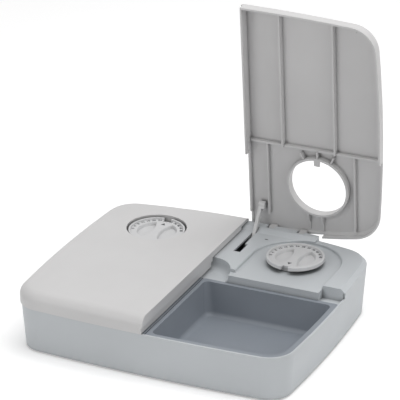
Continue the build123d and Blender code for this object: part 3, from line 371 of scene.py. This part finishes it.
@dataclass(frozen=True)
class PadInk:
    """Pad-printed ink with slight wear."""

    name: str
    colour: Colour = srgb(52, 54, 57)
    wear_scale: float = 2500.0
    wear: float = 1.4
    roughness: Span = (0.4, 0.6)
    depth: float = 0.00001

    def make(self) -> bpy.types.Material:
        """Build the material.

        Returns:
            The material.
        """
        sheet = NodeSheet(self.name)
        wear = sheet.noise(self.wear_scale, detail=3.0)
        tone = sheet.tint(wear, self.colour, shade(self.colour, self.wear))
        sheet.link(tone, sheet.shader.inputs["Base Color"])
        sheet.rough(wear, self.roughness)
        sheet.bump(wear, self.depth)
        return sheet.material


class Finishes:
    """Every material of the feeder, built once."""

    def __init__(self) -> None:
        """Build the materials."""
        # The cavity and reach values set how strongly painted shade darkens gaps, under the dial and round
        # the deck.
        case = MouldedPlastic("case_grey", srgb(196, 200, 203), 0.44, mottle=0.02, cavity=0.25, reach=0.008)
        lid = MouldedPlastic("lid_grey", srgb(208, 207, 207), 0.40, mottle=0.02, cavity=0.35)
        dial = MouldedPlastic("dial_grey", srgb(208, 208, 209), 0.38, mottle=0.02, cavity=0.2, reach=0.009)
        self.case, self.lid, self.dial = case.make(), lid.make(), dial.make()
        self.tray = MouldedPlastic("tray_blue_grey", srgb(138, 144, 152), 0.46, mottle=0.04).make()
        self.arm = MouldedPlastic("arm_grey", srgb(208, 208, 208), 0.4, mottle=0.02).make()
        self.base = MouldedPlastic("base_grey", srgb(150, 152, 154), 0.55, Grain.COARSE, 0.04).make()
        self.inner = MouldedPlastic("inner_dark", srgb(70, 72, 74), 0.5, Grain.SPARK, 0.06).make()
        self.cell = MouldedPlastic("cell_jacket", srgb(46, 48, 52), 0.25, mottle=0.08, coat=0.5).make()
        self.lead = MouldedPlastic("lead_red", srgb(150, 40, 34), 0.4, mottle=0.05).make()
        self.steel = DrawnSteel("plated_steel").make()
        self.rubber = FootRubber("foot_rubber").make()
        self.ink = PadInk("dial_ink").make()


def paint(piece: bpy.types.Object, material: bpy.types.Material) -> None:
    """Give a piece one material in place of what it has.

    Args:
        piece: The object.
        material: Its new material.
    """
    piece.data.materials.clear()
    piece.data.materials.append(material)
    LOG.info("%s is finished in %s", piece.name, material.name)


def soften(piece: bpy.types.Object, width: float, segments: int = 2, sharp_deg: float = 40.0) -> None:
    """Break an object's sharp edges with a small bevel modifier.

    Args:
        piece: The object.
        width: Width of the bevel in metres.
        segments: Rows of faces across it.
        sharp_deg: Edges that turn by more than this are broken.
    """
    bevel = piece.modifiers.new("edge_break", "BEVEL")
    bevel.width = width
    bevel.segments = segments
    bevel.limit_method = "ANGLE"
    bevel.angle_limit = math.radians(sharp_deg)
    bevel.miter_outer = "MITER_ARC"


def bridge(shape: bmesh.types.BMesh, one: list, other: list, closed: bool) -> None:
    """Join two equal rows of vertices by quads.

    Args:
        shape: The mesh that grows.
        one: The first row.
        other: The second row.
        closed: Whether the rows close on themselves.
    """
    count = len(one)
    for k in range(count if closed else count - 1):
        following = (k + 1) % count
        shape.faces.new((one[k], one[following], other[following], other[k]))


def slab(outline: list[Point], low: float, high: float) -> bpy.types.Mesh:
    """Make a thin plate from its outline.

    Args:
        outline: Corners in mm, seen from above.
        low: Height of its underside in mm.
        high: Height of its top in mm.

    Returns:
        The mesh in the row frame.
    """
    shape = bmesh.new()
    rings = [[shape.verts.new((x * MM, y * MM, z * MM)) for x, y in outline] for z in (low, high)]
    for ring in rings:
        shape.faces.new(ring)
    bridge(shape, rings[0], rings[1], True)
    bmesh.ops.recalc_face_normals(shape, faces=shape.faces)
    return finished(shape)


def finished(shape: bmesh.types.BMesh) -> bpy.types.Mesh:
    """Turn a bmesh, which is freed, into a mesh."""
    mesh = bpy.data.meshes.new("shape")
    shape.to_mesh(mesh)
    shape.free()
    return mesh


def new_piece(
    name: str, mesh: bpy.types.Mesh, body: str, material: bpy.types.Material
) -> bpy.types.Object:
    """Put a finished mesh in the scene on a CAD body.

    Args:
        name: The piece's name.
        mesh: Its mesh, in the row frame.
        body: The body that it rides on.
        material: Its material.

    Returns:
        The new object.
    """
    mesh.name = name
    piece = bpy.data.objects.new(name, mesh)
    bpy.context.scene.collection.objects.link(piece)
    paint(piece, material)
    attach(piece, body)
    LOG.info("piece %s rides on %s", name, body)
    return piece


def flat_text(
    words: str,
    height: float,
    thickness: float,
    size_share: float = 1.42,
    weight_share: float = 0.045,
    curve_steps: int = 3,
) -> bpy.types.Mesh:
    """Make a mesh of plain figures, centred on the origin in the XY plane.

    Args:
        words: The figures.
        height: Height of a figure in metres.
        thickness: Thickness of the print in metres.
        size_share: The font's size over the height of its figures.
        weight_share: How far each stroke is thickened, over the height.
        curve_steps: Straight pieces for each curved part of a stroke.

    Returns:
        The mesh.
    """
    curve = bpy.data.curves.new("figures", "FONT")
    curve.body = words
    curve.align_x = "CENTER"
    curve.align_y = "CENTER"
    curve.size = height * size_share
    curve.extrude = thickness / 2
    curve.resolution_u = curve_steps
    curve.offset = height * weight_share
    holder = bpy.data.objects.new("figures", curve)
    bpy.context.scene.collection.objects.link(holder)
    bpy.context.view_layer.update()
    mesh = bpy.data.meshes.new_from_object(holder.evaluated_get(bpy.context.evaluated_depsgraph_get()))
    bpy.data.objects.remove(holder)
    bpy.data.curves.remove(curve)
    return mesh


def smooth(value: float) -> float:
    """Rise softly from 0 at 0 to 1 at 1.

    Args:
        value: Where on the rise.

    Returns:
        The height, 0 to 1.
    """
    t = min(max(value, 0.0), 1.0)
    return t * t * (3.0 - 2.0 * t)


@dataclass(frozen=True)
class DialFace:
    """Sizes of the dial's moulding in mm: the CAD disc's, and those of the face that the disc lacks.

    The ring radii and the turns of the rounded edge, in degrees, say where the mesh has its rows.
    """

    top_z: float = 69.0
    figure_z: float = 67.0
    flange_z: float = 64.8
    neck_z: float = 60.2
    rim_r: float = 31.8
    rim_inner_r: float = 28.7
    neck_r: float = 24.0
    hub_r: float = 4.06
    notch_r: float = 25.0
    notch_half: float = 4.2
    hollow_r: float = 22.5
    hollow_depth: float = 3.2
    ridge_half: float = 4.8
    waist_r: float = 45.0
    edge: float = 1.0
    rim_wall: float = 0.75
    hollow_wall: float = 1.6
    dish_depth: float = 0.5
    dish_reach: float = 9.0
    ring_step: float = 0.7
    wall_rows: int = 5
    figure_rings: tuple[float, ...] = (25.8, 26.8, 27.8, 28.4)
    rim_rings: tuple[float, ...] = (30.2, 30.8)
    edge_turns: tuple[float, ...] = (20.0, 40.0, 55.0, 70.0, 80.0, 90.0)

    def height(self, x: float, y: float) -> float:
        """Height of the face at a point measured from the dial's centre.

        Args:
            x: Across the ridge.
            y: Along the ridge.

        Returns:
            The height in mm above the floor.
        """
        radius = math.hypot(x, y)
        rise = smooth((radius - self.rim_inner_r) / self.rim_wall)
        z = self.figure_z + (self.top_z - self.figure_z) * rise
        over = radius - (self.rim_r - self.edge)
        if over > 0.0:
            z -= self.edge - math.sqrt(max(self.edge**2 - over**2, 0.0))
        wall = self.waist_r - math.hypot(abs(x) - self.ridge_half - self.waist_r, y)
        inside = min(self.hollow_r - radius, wall)
        if inside > 0.0:
            z -= self.hollow_depth * smooth(inside / self.hollow_wall)
            z -= self.dish_depth * smooth(inside / self.dish_reach)
        return z

    def inner_radii(self) -> list[float]:
        """Radii of the face's rings from the middle out to the bottom of the notch."""
        by_notch = [self.notch_r - self.ring_step * k for k in (3, 2, 1, 0)]
        count = int(by_notch[0] / self.ring_step)
        return [self.ring_step * (k + 1) for k in range(count)] + by_notch

    def outer_radii(self) -> list[float]:
        """Radii of the rings that the notch cuts, out to the rim's rounded edge."""
        wall = [self.rim_inner_r + self.rim_wall / self.wall_rows * k for k in range(self.wall_rows + 2)]
        edge = [self.rim_r - self.edge * (1.0 - math.sin(math.radians(turn))) for turn in self.edge_turns]
        return [*self.figure_rings, *wall, *self.rim_rings, *edge]


@dataclass
class Dial:
    """A timer dial: a detailed moulding in place of the CAD disc, with printed figures and a pointer."""

    side: Side
    centre_x: float = 83.0
    centre_y: float = 70.0
    face: DialFace = DialFace()
    figure_r: float = 26.9
    figure_h: float = 3.3
    figures: tuple[str, ...] = ("0", "4", "8", "12", "16", "20", "24", "28", "32", "36", "40", "44", "48")
    first_deg: float = 192.8
    step_deg: float = -14.2
    figure_narrowing: float = 0.92
    notch_clear_deg: float = 10.0
    pointer_r: float = 17.9
    pointer_half: float = 2.5
    pointer_foot: float = 2.3
    pointer_tip: float = 2.5
    print_t: float = 0.08
    edge_break: float = 0.2
    columns: int = 168
    notch_columns: int = 8

    @property
    def body(self) -> str:
        """The body that the dial's pieces ride on."""
        return f"dial_{self.side.word}_body"

    @property
    def toward(self) -> int:
        """Where the notch is: minus one at the front on the right, one at the rear on the left."""
        return -self.side.sign

    def ring(self, shape: bmesh.types.BMesh, radius: float, height: float | None, whole: bool) -> list:
        """Add one ring of vertices, counted from one side of the notch round to the other.

        Args:
            shape: The mesh that grows.
            radius: The ring's radius in mm.
            height: Its height in mm, or None to lie on the face.
            whole: Whether it also crosses the notch.

        Returns:
            The vertices.
        """
        half = math.asin(self.face.notch_half / max(radius, self.face.notch_r))
        start = self.toward * math.pi / 2
        angles = [start + half + (2 * math.pi - 2 * half) * k / self.columns for k in range(self.columns + 1)]
        if whole:
            angles += [start - half + 2 * half * m / self.notch_columns for m in range(1, self.notch_columns)]
        made = []
        for angle in angles:
            x, y = radius * math.cos(angle), radius * math.sin(angle)
            z = self.face.height(x, y) if height is None else height
            spot = ((self.side.sign * self.centre_x + x) * MM, (self.centre_y + y) * MM, z * MM)
            made.append(shape.verts.new(spot))
        return made

    def fan(self, shape: bmesh.types.BMesh, rim: list, height: float) -> None:
        """Close a ring with triangles to a middle vertex.

        Args:
            shape: The mesh that grows.
            rim: The ring.
            height: The middle's height in mm.
        """
        spot = (self.side.sign * self.centre_x * MM, self.centre_y * MM, height * MM)
        middle = shape.verts.new(spot)
        for k, vertex in enumerate(rim):
            shape.faces.new((middle, vertex, rim[(k + 1) % len(rim)]))

    def moulding(self) -> bpy.types.Mesh:
        """Make the dial's body: rim, sunk figure ring, ridge, two finger hollows, notch, flange and neck.

        Returns:
            The mesh in the row frame.
        """
        face, shape = self.face, bmesh.new()
        outer_radii = face.outer_radii()
        inner = [self.ring(shape, radius, None, True) for radius in face.inner_radii()]
        outer = [inner[-1][: self.columns + 1]]
        outer += [self.ring(shape, radius, None, False) for radius in outer_radii]
        self.fan(shape, inner[0], face.height(0.0, 0.0))
        for one, other in zip(inner, inner[1:]):
            bridge(shape, one, other, True)
        for one, other in zip(outer, outer[1:]):
            bridge(shape, one, other, False)
        under = self.ring(shape, face.notch_r, face.flange_z, True)
        below = [under[: self.columns + 1]]
        below += [self.ring(shape, radius, face.flange_z, False) for radius in outer_radii]
        for one, other in zip(below, below[1:]):
            bridge(shape, one, other, False)
        bridge(shape, outer[-1], below[-1], False)
        for k in (0, self.columns):
            bridge(shape, [row[k] for row in outer], [row[k] for row in below], False)
        notch_bottom = (*range(self.columns, len(under)), 0)
        bridge(shape, [inner[-1][k] for k in notch_bottom], [under[k] for k in notch_bottom], False)
        self.neck(shape, under)
        bmesh.ops.recalc_face_normals(shape, faces=shape.faces)
        return self.rounded(shape)

    def neck(self, shape: bmesh.types.BMesh, under: list) -> None:
        """Add the underside: the neck that stands in the deck, and the blind bore for the spindle.

        Args:
            shape: The mesh that grows.
            under: The ring round the flange's underside.
        """
        face = self.face
        steps = (
            (face.neck_r, face.flange_z),
            (face.neck_r, face.neck_z),
            (face.hub_r, face.neck_z),
            (face.hub_r, face.flange_z),
        )
        for radius, height in steps:
            following = self.ring(shape, radius, height, True)
            bridge(shape, under, following, True)
            under = following
        self.fan(shape, under, face.flange_z)

    @staticmethod
    def rounded(shape: bmesh.types.BMesh, sharp_deg: float = 38.0) -> bpy.types.Mesh:
        """Turn a bmesh into a smooth-shaded mesh.

        Args:
            shape: The bmesh, which is freed.
            sharp_deg: Edges that turn by more than this stay sharp.

        Returns:
            The mesh.
        """
        mesh = finished(shape)
        mesh.polygons.foreach_set("use_smooth", [True] * len(mesh.polygons))
        mesh.set_sharp_from_angle(angle=math.radians(sharp_deg))
        return mesh

    def figure_ring(self, finishes: Finishes) -> None:
        """Print the hour figures round the sunk ring.

        Args:
            finishes: The materials.
        """
        merged = bmesh.new()
        for index, words in enumerate(self.figures):
            degrees = self.first_deg + self.step_deg * index
            if abs(degrees - 90.0 * self.toward) < self.notch_clear_deg:
                continue
            angle = math.radians(degrees)
            mesh = flat_text(words, self.figure_h * MM, self.print_t * MM)
            x = (self.side.sign * self.centre_x + self.figure_r * math.cos(angle)) * MM
            y = (self.centre_y + self.figure_r * math.sin(angle)) * MM
            turn = Matrix.Rotation(angle - math.pi / 2, 4, "Z")
            place = Matrix.Translation((x, y, self.face.figure_z * MM))
            mesh.transform(place @ turn @ Matrix.Diagonal((self.figure_narrowing, 1.0, 1.0, 1.0)))
            merged.from_mesh(mesh)
            bpy.data.meshes.remove(mesh)
        name = f"dial_figures_{self.side.word}"
        new_piece(name, finished(merged), self.body, finishes.ink)

    def pointer(self, finishes: Finishes) -> None:
        """Print the small triangle on the ridge that points at the notch.

        Args:
            finishes: The materials.
        """
        x = self.side.sign * self.centre_x
        y = self.centre_y + self.toward * self.pointer_r
        foot, tip = y - self.toward * self.pointer_foot, y + self.toward * self.pointer_tip
        outline = [(x - self.pointer_half, foot), (x + self.pointer_half, foot), (x, tip)]
        half = self.print_t / 2
        mesh = slab(outline, self.face.figure_z - half, self.face.figure_z + half)
        new_piece(f"dial_pointer_{self.side.word}", mesh, self.body, finishes.ink)

    def build(self, frame: dict, finishes: Finishes) -> None:
        """Make the dial and print on it.

        Args:
            frame: The loaded frame.
            finishes: The materials.
        """
        word = self.side.word
        paint(frame["nodes"][f"dial_spindle_{word}"], finishes.inner)
        piece = new_piece(f"dial_moulding_{word}", self.moulding(), self.body, finishes.dial)
        soften(piece, self.edge_break * MM, segments=1)
        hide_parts(f"dial_{word}")
        self.figure_ring(finishes)
        self.pointer(finishes)


@dataclass
class Case:
    """The housing, base plate, feet and screws, and a thin dark oval sheet on the deck: painted shade for a
    small recessed slot.
    """

    edge: float = 0.6
    mark: Place = (33.7, 106.0, 63.0)
    mark_half: Point = (2.3, 0.9)
    mark_t: float = 0.05
    mark_corners: int = 24

    def gate_mark(self, finishes: Finishes) -> None:
        """Lay a thin dark oval sheet behind the right dial, painted shade that stands for a small recessed
        slot in the deck.

        Args:
            finishes: The materials.
        """
        (x, y, z), (half_x, half_y) = self.mark, self.mark_half
        turns = [2 * math.pi * k / self.mark_corners for k in range(self.mark_corners)]
        outline = [(x + half_x * math.cos(turn), y + half_y * math.sin(turn)) for turn in turns]
        # A dark sheet flush on the deck: painted shade in place of the slot's recess.
        mesh = slab(outline, z - self.mark_t / 2, z + self.mark_t / 2)
        new_piece("gate_mark", mesh, "case", finishes.inner)

    def build(self, frame: dict, finishes: Finishes) -> None:
        """Finish the case.

        Args:
            frame: The loaded frame.
            finishes: The materials.
        """
        nodes = frame["nodes"]
        paint(nodes["housing"], finishes.case)
        soften(nodes["housing"], self.edge * MM)
        paint(nodes["base_plate"], finishes.base)
        paint(nodes["rubber_feet"], finishes.rubber)
        paint(nodes["base_screws"], finishes.steel)
        self.gate_mark(finishes)


@dataclass(frozen=True)
class CaseOutline:
    """The case seen from above, in mm as the CAD draws it: four bowed sides and four round corners."""

    width: float = 320.0
    depth: float = 276.0
    front_bow: float = 5.5
    side_bow: float = 5.5
    rear_bow: float = 19.0
    front_corner_r: float = 30.0
    rear_corner_r: float = 36.0

    def bows(self) -> tuple[tuple[Vector, float], ...]:
        """Centres and radii of the front, side and rear bows.

        Returns:
            The three circles, each with the outline on its inside.
        """
        half_x = self.width / 2 - self.side_bow
        low, high = -self.depth / 2 + self.front_bow, self.depth / 2 - self.rear_bow
        front = (half_x**2 + self.front_bow**2) / (2 * self.front_bow)
        side = ((high - low) ** 2 / 4 + self.side_bow**2) / (2 * self.side_bow)
        rear = (half_x**2 + self.rear_bow**2) / (2 * self.rear_bow)
        return (
            (Vector((0.0, front - self.depth / 2)), front),
            (Vector((self.width / 2 - side, (low + high) / 2)), side),
            (Vector((0.0, self.depth / 2 - rear)), rear),
        )

    @staticmethod
    def corner(one: tuple[Vector, float], other: tuple[Vector, float], radius: float, upper: bool) -> Vector:
        """Centre of the corner arc that touches two bows.

        Args:
            one: The first bow's circle.
            other: The second bow's circle.
            radius: The corner's radius.
            upper: Whether it is the rear corner.

        Returns:
            The centre, at positive X.
        """
        (c1, r1), (c2, r2) = (one[0], one[1] - radius), (other[0], other[1] - radius)
        apart = c2 - c1
        along = (r1**2 - r2**2 + apart.length_squared) / (2 * apart.length)
        across = math.sqrt(r1**2 - along**2)
        ahead = apart.normalized()
        aside = Vector((-ahead.y, ahead.x))
        found = sorted((c1 + ahead * along + aside * across * sign for sign in (-1, 1)), key=lambda p: p.y)
        return found[-1] if upper else found[0]

    def inset(self, x: float, y: float) -> tuple[float, Vector]:
        """How far inside the outline a point lies, and which way is out.

        Args:
            x: Across the case.
            y: Along the case.

        Returns:
            The distance, and the outward direction as a unit vector.
        """
        front, side, rear = self.bows()
        spot = Vector((abs(x), y))
        sign = math.copysign(1.0, x)
        sectors = (
            (self.corner(front, side, self.front_corner_r, False), self.front_corner_r, front, side),
            (self.corner(side, rear, self.rear_corner_r, True), self.rear_corner_r, side, rear),
        )
        for centre, radius, first, last in sectors:
            away = spot - centre
            if (centre - first[0]).cross(away) >= 0.0 and away.cross(centre - last[0]) >= 0.0:
                out = away.normalized()
                return radius - away.length, Vector((out.x * sign, out.y))
        found = [(radius - (spot - centre).length, spot - centre) for centre, radius in (front, side, rear)]
        depth, away = min(found, key=lambda each: each[0])
        out = away.normalized()
        return depth, Vector((out.x * sign, out.y))


@dataclass
class LidShell:
    """The lid's moulding with the fuller shoulder of the real one, in place of the CAD lid."""

    side: Side
    top_z: float = 71.0
    cad_round: float = 7.0
    full_round: float = 10.6
    slack: float = 0.15
    fade_from_y: float = 118.0
    fade_over: float = 25.0
    outline: CaseOutline = CaseOutline()

    def closing(self, frame: dict) -> Matrix:
        """Find the turn that takes the lid from where it rests to closed.

        Args:
            frame: The loaded frame.

        Returns:
            The turn, in metres.
        """
        if self.side is Side.LEFT:
            return Matrix.Identity(4)
        joint = next(j for j in frame["joints"] if j["name"] == "lid_right_hinge")
        pin = Matrix.Translation(Vector(joint["pos_m"]))
        turn = Matrix.Rotation(math.radians(joint["range_deg"][0]), 4, Vector(joint["axis"]))
        return pin @ turn @ pin.inverted()

    def fuller(self, spot: Vector) -> Vector:
        """Move a point of the CAD shoulder to the fuller one, which ends before the cut-outs at the rear.

        The cross rib's outer corner, which stands out of the CAD shoulder, is drawn back to it.

        Args:
            spot: The point in mm, with the lid closed.

        Returns:
            Its new place, or the same one if it isn't on the shoulder.
        """
        inset, out = self.outline.inset(spot.x, spot.y)
        grow = (self.full_round - self.cad_round) * smooth((self.fade_from_y - spot.y) / self.fade_over)
        full = self.cad_round + grow
        across = (self.cad_round - inset) / self.cad_round
        rise = (spot.z - self.top_z + self.cad_round) / self.cad_round
        size, near = math.hypot(across, rise), self.slack / self.cad_round
        on_round = abs(size - 1.0) <= near
        rib_end = size > 1.0 + near and spot.y < self.fade_from_y - self.fade_over
        if min(across, rise) < -near or not (on_round or rib_end):
            return spot
        outward = inset - full * (1.0 - across / size)
        height = self.top_z - full * (1.0 - rise / size)
        return Vector((spot.x + out.x * outward, spot.y + out.y * outward, height))

    def build(self, frame: dict, finishes: Finishes, edge: float) -> None:
        """Make the shell and let it stand for the CAD lid.

        Args:
            frame: The loaded frame.
            finishes: The materials.
            edge: Width of its broken edges in mm.
        """
        word = self.side.word
        node = frame["nodes"][f"lid_{word}"]
        mesh = node.data.copy()
        closing = self.closing(frame)
        mesh.transform(closing @ node.matrix_world)
        moved = 0
        for vertex in mesh.vertices:
            spot = vertex.co / MM
            new = self.fuller(spot)
            moved += new is not spot
            vertex.co = new * MM
        mesh.transform(closing.inverted())
        LOG.info("lid %s: %d of %d points on the shoulder", word, moved, len(mesh.vertices))
        piece = new_piece(f"lid_shell_{word}", mesh, f"lid_{word}_body", finishes.lid)
        soften(piece, edge * MM)
        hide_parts(f"lid_{word}")


@dataclass
class MealSide:
    """One meal's lid, tray, arm, timer and battery."""

    side: Side
    edge: float = 0.35
    steel: tuple[str, ...] = ("hinge_pins", "timer_screws", "arm_pin", "arm_spring", "battery_contacts")

    def build(self, frame: dict, finishes: Finishes) -> None:
        """Finish the pieces of one side.

        Args:
            frame: The loaded frame.
            finishes: The materials.
        """
        nodes, word = frame["nodes"], self.side.word
        LidShell(self.side).build(frame, finishes, self.edge)
        for name, material in (("meal_tray", finishes.tray), ("lift_arm", finishes.arm)):
            paint(nodes[f"{name}_{word}"], material)
            soften(nodes[f"{name}_{word}"], self.edge * MM)
        for name in self.steel:
            paint(nodes[f"{name}_{word}"], finishes.steel)
        paint(nodes[f"timer_case_{word}"], finishes.inner)
        paint(nodes[f"timer_cover_{word}"], finishes.inner)
        paint(nodes[f"battery_{word}"], finishes.cell)
        paint(nodes[f"battery_leads_{word}"], finishes.lead)
        paint(nodes[f"battery_door_{word}"], finishes.base)


@dataclass(frozen=True)
class SoftBox:
    """A square soft box, with its places and size in metres and its power in watts."""

    name: str
    place: Place
    target: Place
    size: float
    power: float

    def hang(self) -> None:
        """Put the soft box in the scene, facing its target."""
        data = bpy.data.lights.new(self.name, "AREA")
        data.shape = "SQUARE"
        data.size = self.size
        data.energy = self.power
        lamp = bpy.data.objects.new(self.name, data)
        bpy.context.scene.collection.objects.link(lamp)
        lamp.location = self.place
        lamp.rotation_mode = "QUATERNION"
        lamp.rotation_quaternion = (Vector(self.target) - Vector(self.place)).to_track_quat("-Z", "Y")


@dataclass
class Studio:
    """Camera, floor and soft lights. The camera's values were fitted to the photograph's outlines."""

    eye: Place = (0.97908, -2.13410, 1.19690)
    yaw: float = 24.581
    pitch: float = 24.062
    roll: float = -0.1412
    focal_px: float = 2435.29
    frame_px: float = 400.0
    centre_px: Point = (200.91, 199.23)
    sensor: float = 36.0
    clip: Span = (0.1, 50.0)
    sky: float = 0.36
    paper: Span = (0.86, 0.9)
    paper_scale: float = 900.0
    paper_roughness: float = 0.9
    paper_specular: float = 0.1
    paper_white: float = 0.34
    floor_half: float = 6.0
    lamps: tuple[SoftBox, ...] = (
        SoftBox("top_box", (0.35, 0.25, 1.9), (0.0, 0.0, 0.05), 1.5, 21.5),
        SoftBox("right_box", (2.1, -0.4, 1.3), (0.0, 0.0, 0.1), 1.2, 6.5),
        SoftBox("front_box", (-0.7, -2.2, 1.1), (0.0, 0.0, 0.1), 1.4, 10.3),
    )

    def camera(self) -> None:
        """Place the camera where the photograph was taken from."""
        yaw, pitch, roll = (math.radians(a) for a in (self.yaw, self.pitch, self.roll))
        ahead = Vector((-math.sin(yaw) * math.cos(pitch), math.cos(yaw) * math.cos(pitch), -math.sin(pitch)))
        right = ahead.cross(Vector((0.0, 0.0, 1.0))).normalized()
        up = right.cross(ahead)
        level = Matrix((right, up, -ahead)).transposed()
        data = bpy.data.cameras.new("photo_camera")
        data.sensor_width = self.sensor
        data.lens = self.focal_px / self.frame_px * self.sensor
        data.shift_x = -(self.centre_px[0] - self.frame_px / 2) / self.frame_px
        data.shift_y = (self.centre_px[1] - self.frame_px / 2) / self.frame_px
        data.clip_start, data.clip_end = self.clip
        holder = bpy.data.objects.new("photo_camera", data)
        bpy.context.scene.collection.objects.link(holder)
        turned = level @ Matrix.Rotation(roll, 3, "Z")
        holder.matrix_world = Matrix.Translation(Vector(self.eye)) @ turned.to_4x4()
        bpy.context.scene.camera = holder

    def floor(self) -> None:
        """Lay the pale floor, which shows white to the camera and keeps the feeder's shadow."""
        shape = bmesh.new()
        bmesh.ops.create_grid(shape, x_segments=1, y_segments=1, size=self.floor_half)
        floor = bpy.data.objects.new("floor", finished(shape))
        bpy.context.scene.collection.objects.link(floor)
        sheet = NodeSheet("floor_paper")
        dark, light = (shade(WHITE, level) for level in self.paper)
        tone = sheet.tint(sheet.noise(self.paper_scale, detail=3.0), dark, light)
        sheet.link(tone, sheet.shader.inputs["Base Color"])
        sheet.shader.inputs["Roughness"].default_value = self.paper_roughness
        sheet.shader.inputs["Specular IOR Level"].default_value = self.paper_specular
        sheet.shader.inputs["Emission Color"].default_value = (*WHITE, 1.0)
        sheet.link(self.seen(sheet.tree, self.paper_white), sheet.shader.inputs["Emission Strength"])
        paint(floor, sheet.material)

    def seen(self, tree: bpy.types.NodeTree, strength: float) -> bpy.types.NodeSocket:
        """Give a strength to what the camera, a reflection or a glass sees, and none to the feeder's light.

        Args:
            tree: The node tree to work in.
            strength: The strength.

        Returns:
            The strength's socket.
        """
        path = tree.nodes.new("ShaderNodeLightPath")
        total = path.outputs["Is Camera Ray"]
        for ray in ("Is Glossy Ray", "Is Transmission Ray"):
            step = tree.nodes.new("ShaderNodeMath")
            step.operation = "ADD"
            step.use_clamp = True
            tree.links.new(total, step.inputs[0])
            tree.links.new(path.outputs[ray], step.inputs[1])
            total = step.outputs["Value"]
        scale = tree.nodes.new("ShaderNodeMath")
        scale.operation = "MULTIPLY"
        scale.inputs[1].default_value = strength
        tree.links.new(total, scale.inputs[0])
        return scale.outputs["Value"]

    def world(self) -> None:
        """Light everything softly and show white behind."""
        world = bpy.data.worlds.new("studio")
        bpy.context.scene.world = world
        world.use_nodes = True
        tree = world.node_tree
        tree.nodes.clear()
        mix = tree.nodes.new("ShaderNodeMixShader")
        tree.links.new(self.seen(tree, 1.0), mix.inputs["Fac"])
        for socket, strength in ((1, self.sky), (2, 1.0)):
            sky = tree.nodes.new("ShaderNodeBackground")
            sky.inputs["Color"].default_value = (*WHITE, 1.0)
            sky.inputs["Strength"].default_value = strength
            tree.links.new(sky.outputs["Background"], mix.inputs[socket])
        out = tree.nodes.new("ShaderNodeOutputWorld")
        tree.links.new(mix.outputs["Shader"], out.inputs["Surface"])

    def build(self) -> None:
        """Set up the whole studio."""
        bpy.context.scene.view_settings.view_transform = "Standard"
        self.camera()
        self.floor()
        self.world()
        for lamp in self.lamps:
            lamp.hang()


def clear_scene() -> None:
    """Remove what a new Blender file holds."""
    for thing in list(bpy.data.objects):
        bpy.data.objects.remove(thing)


def main() -> None:
    """Build the studio and every sub-assembly in order."""
    logging.basicConfig(level=logging.INFO, format="%(name)s: %(message)s")
    clear_scene()
    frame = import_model()
    Studio().build()
    finishes = Finishes()
    Case().build(frame, finishes)
    for side in Side:
        MealSide(side).build(frame, finishes)
        Dial(side).build(frame, finishes)


if __name__ == "__main__":
    main()
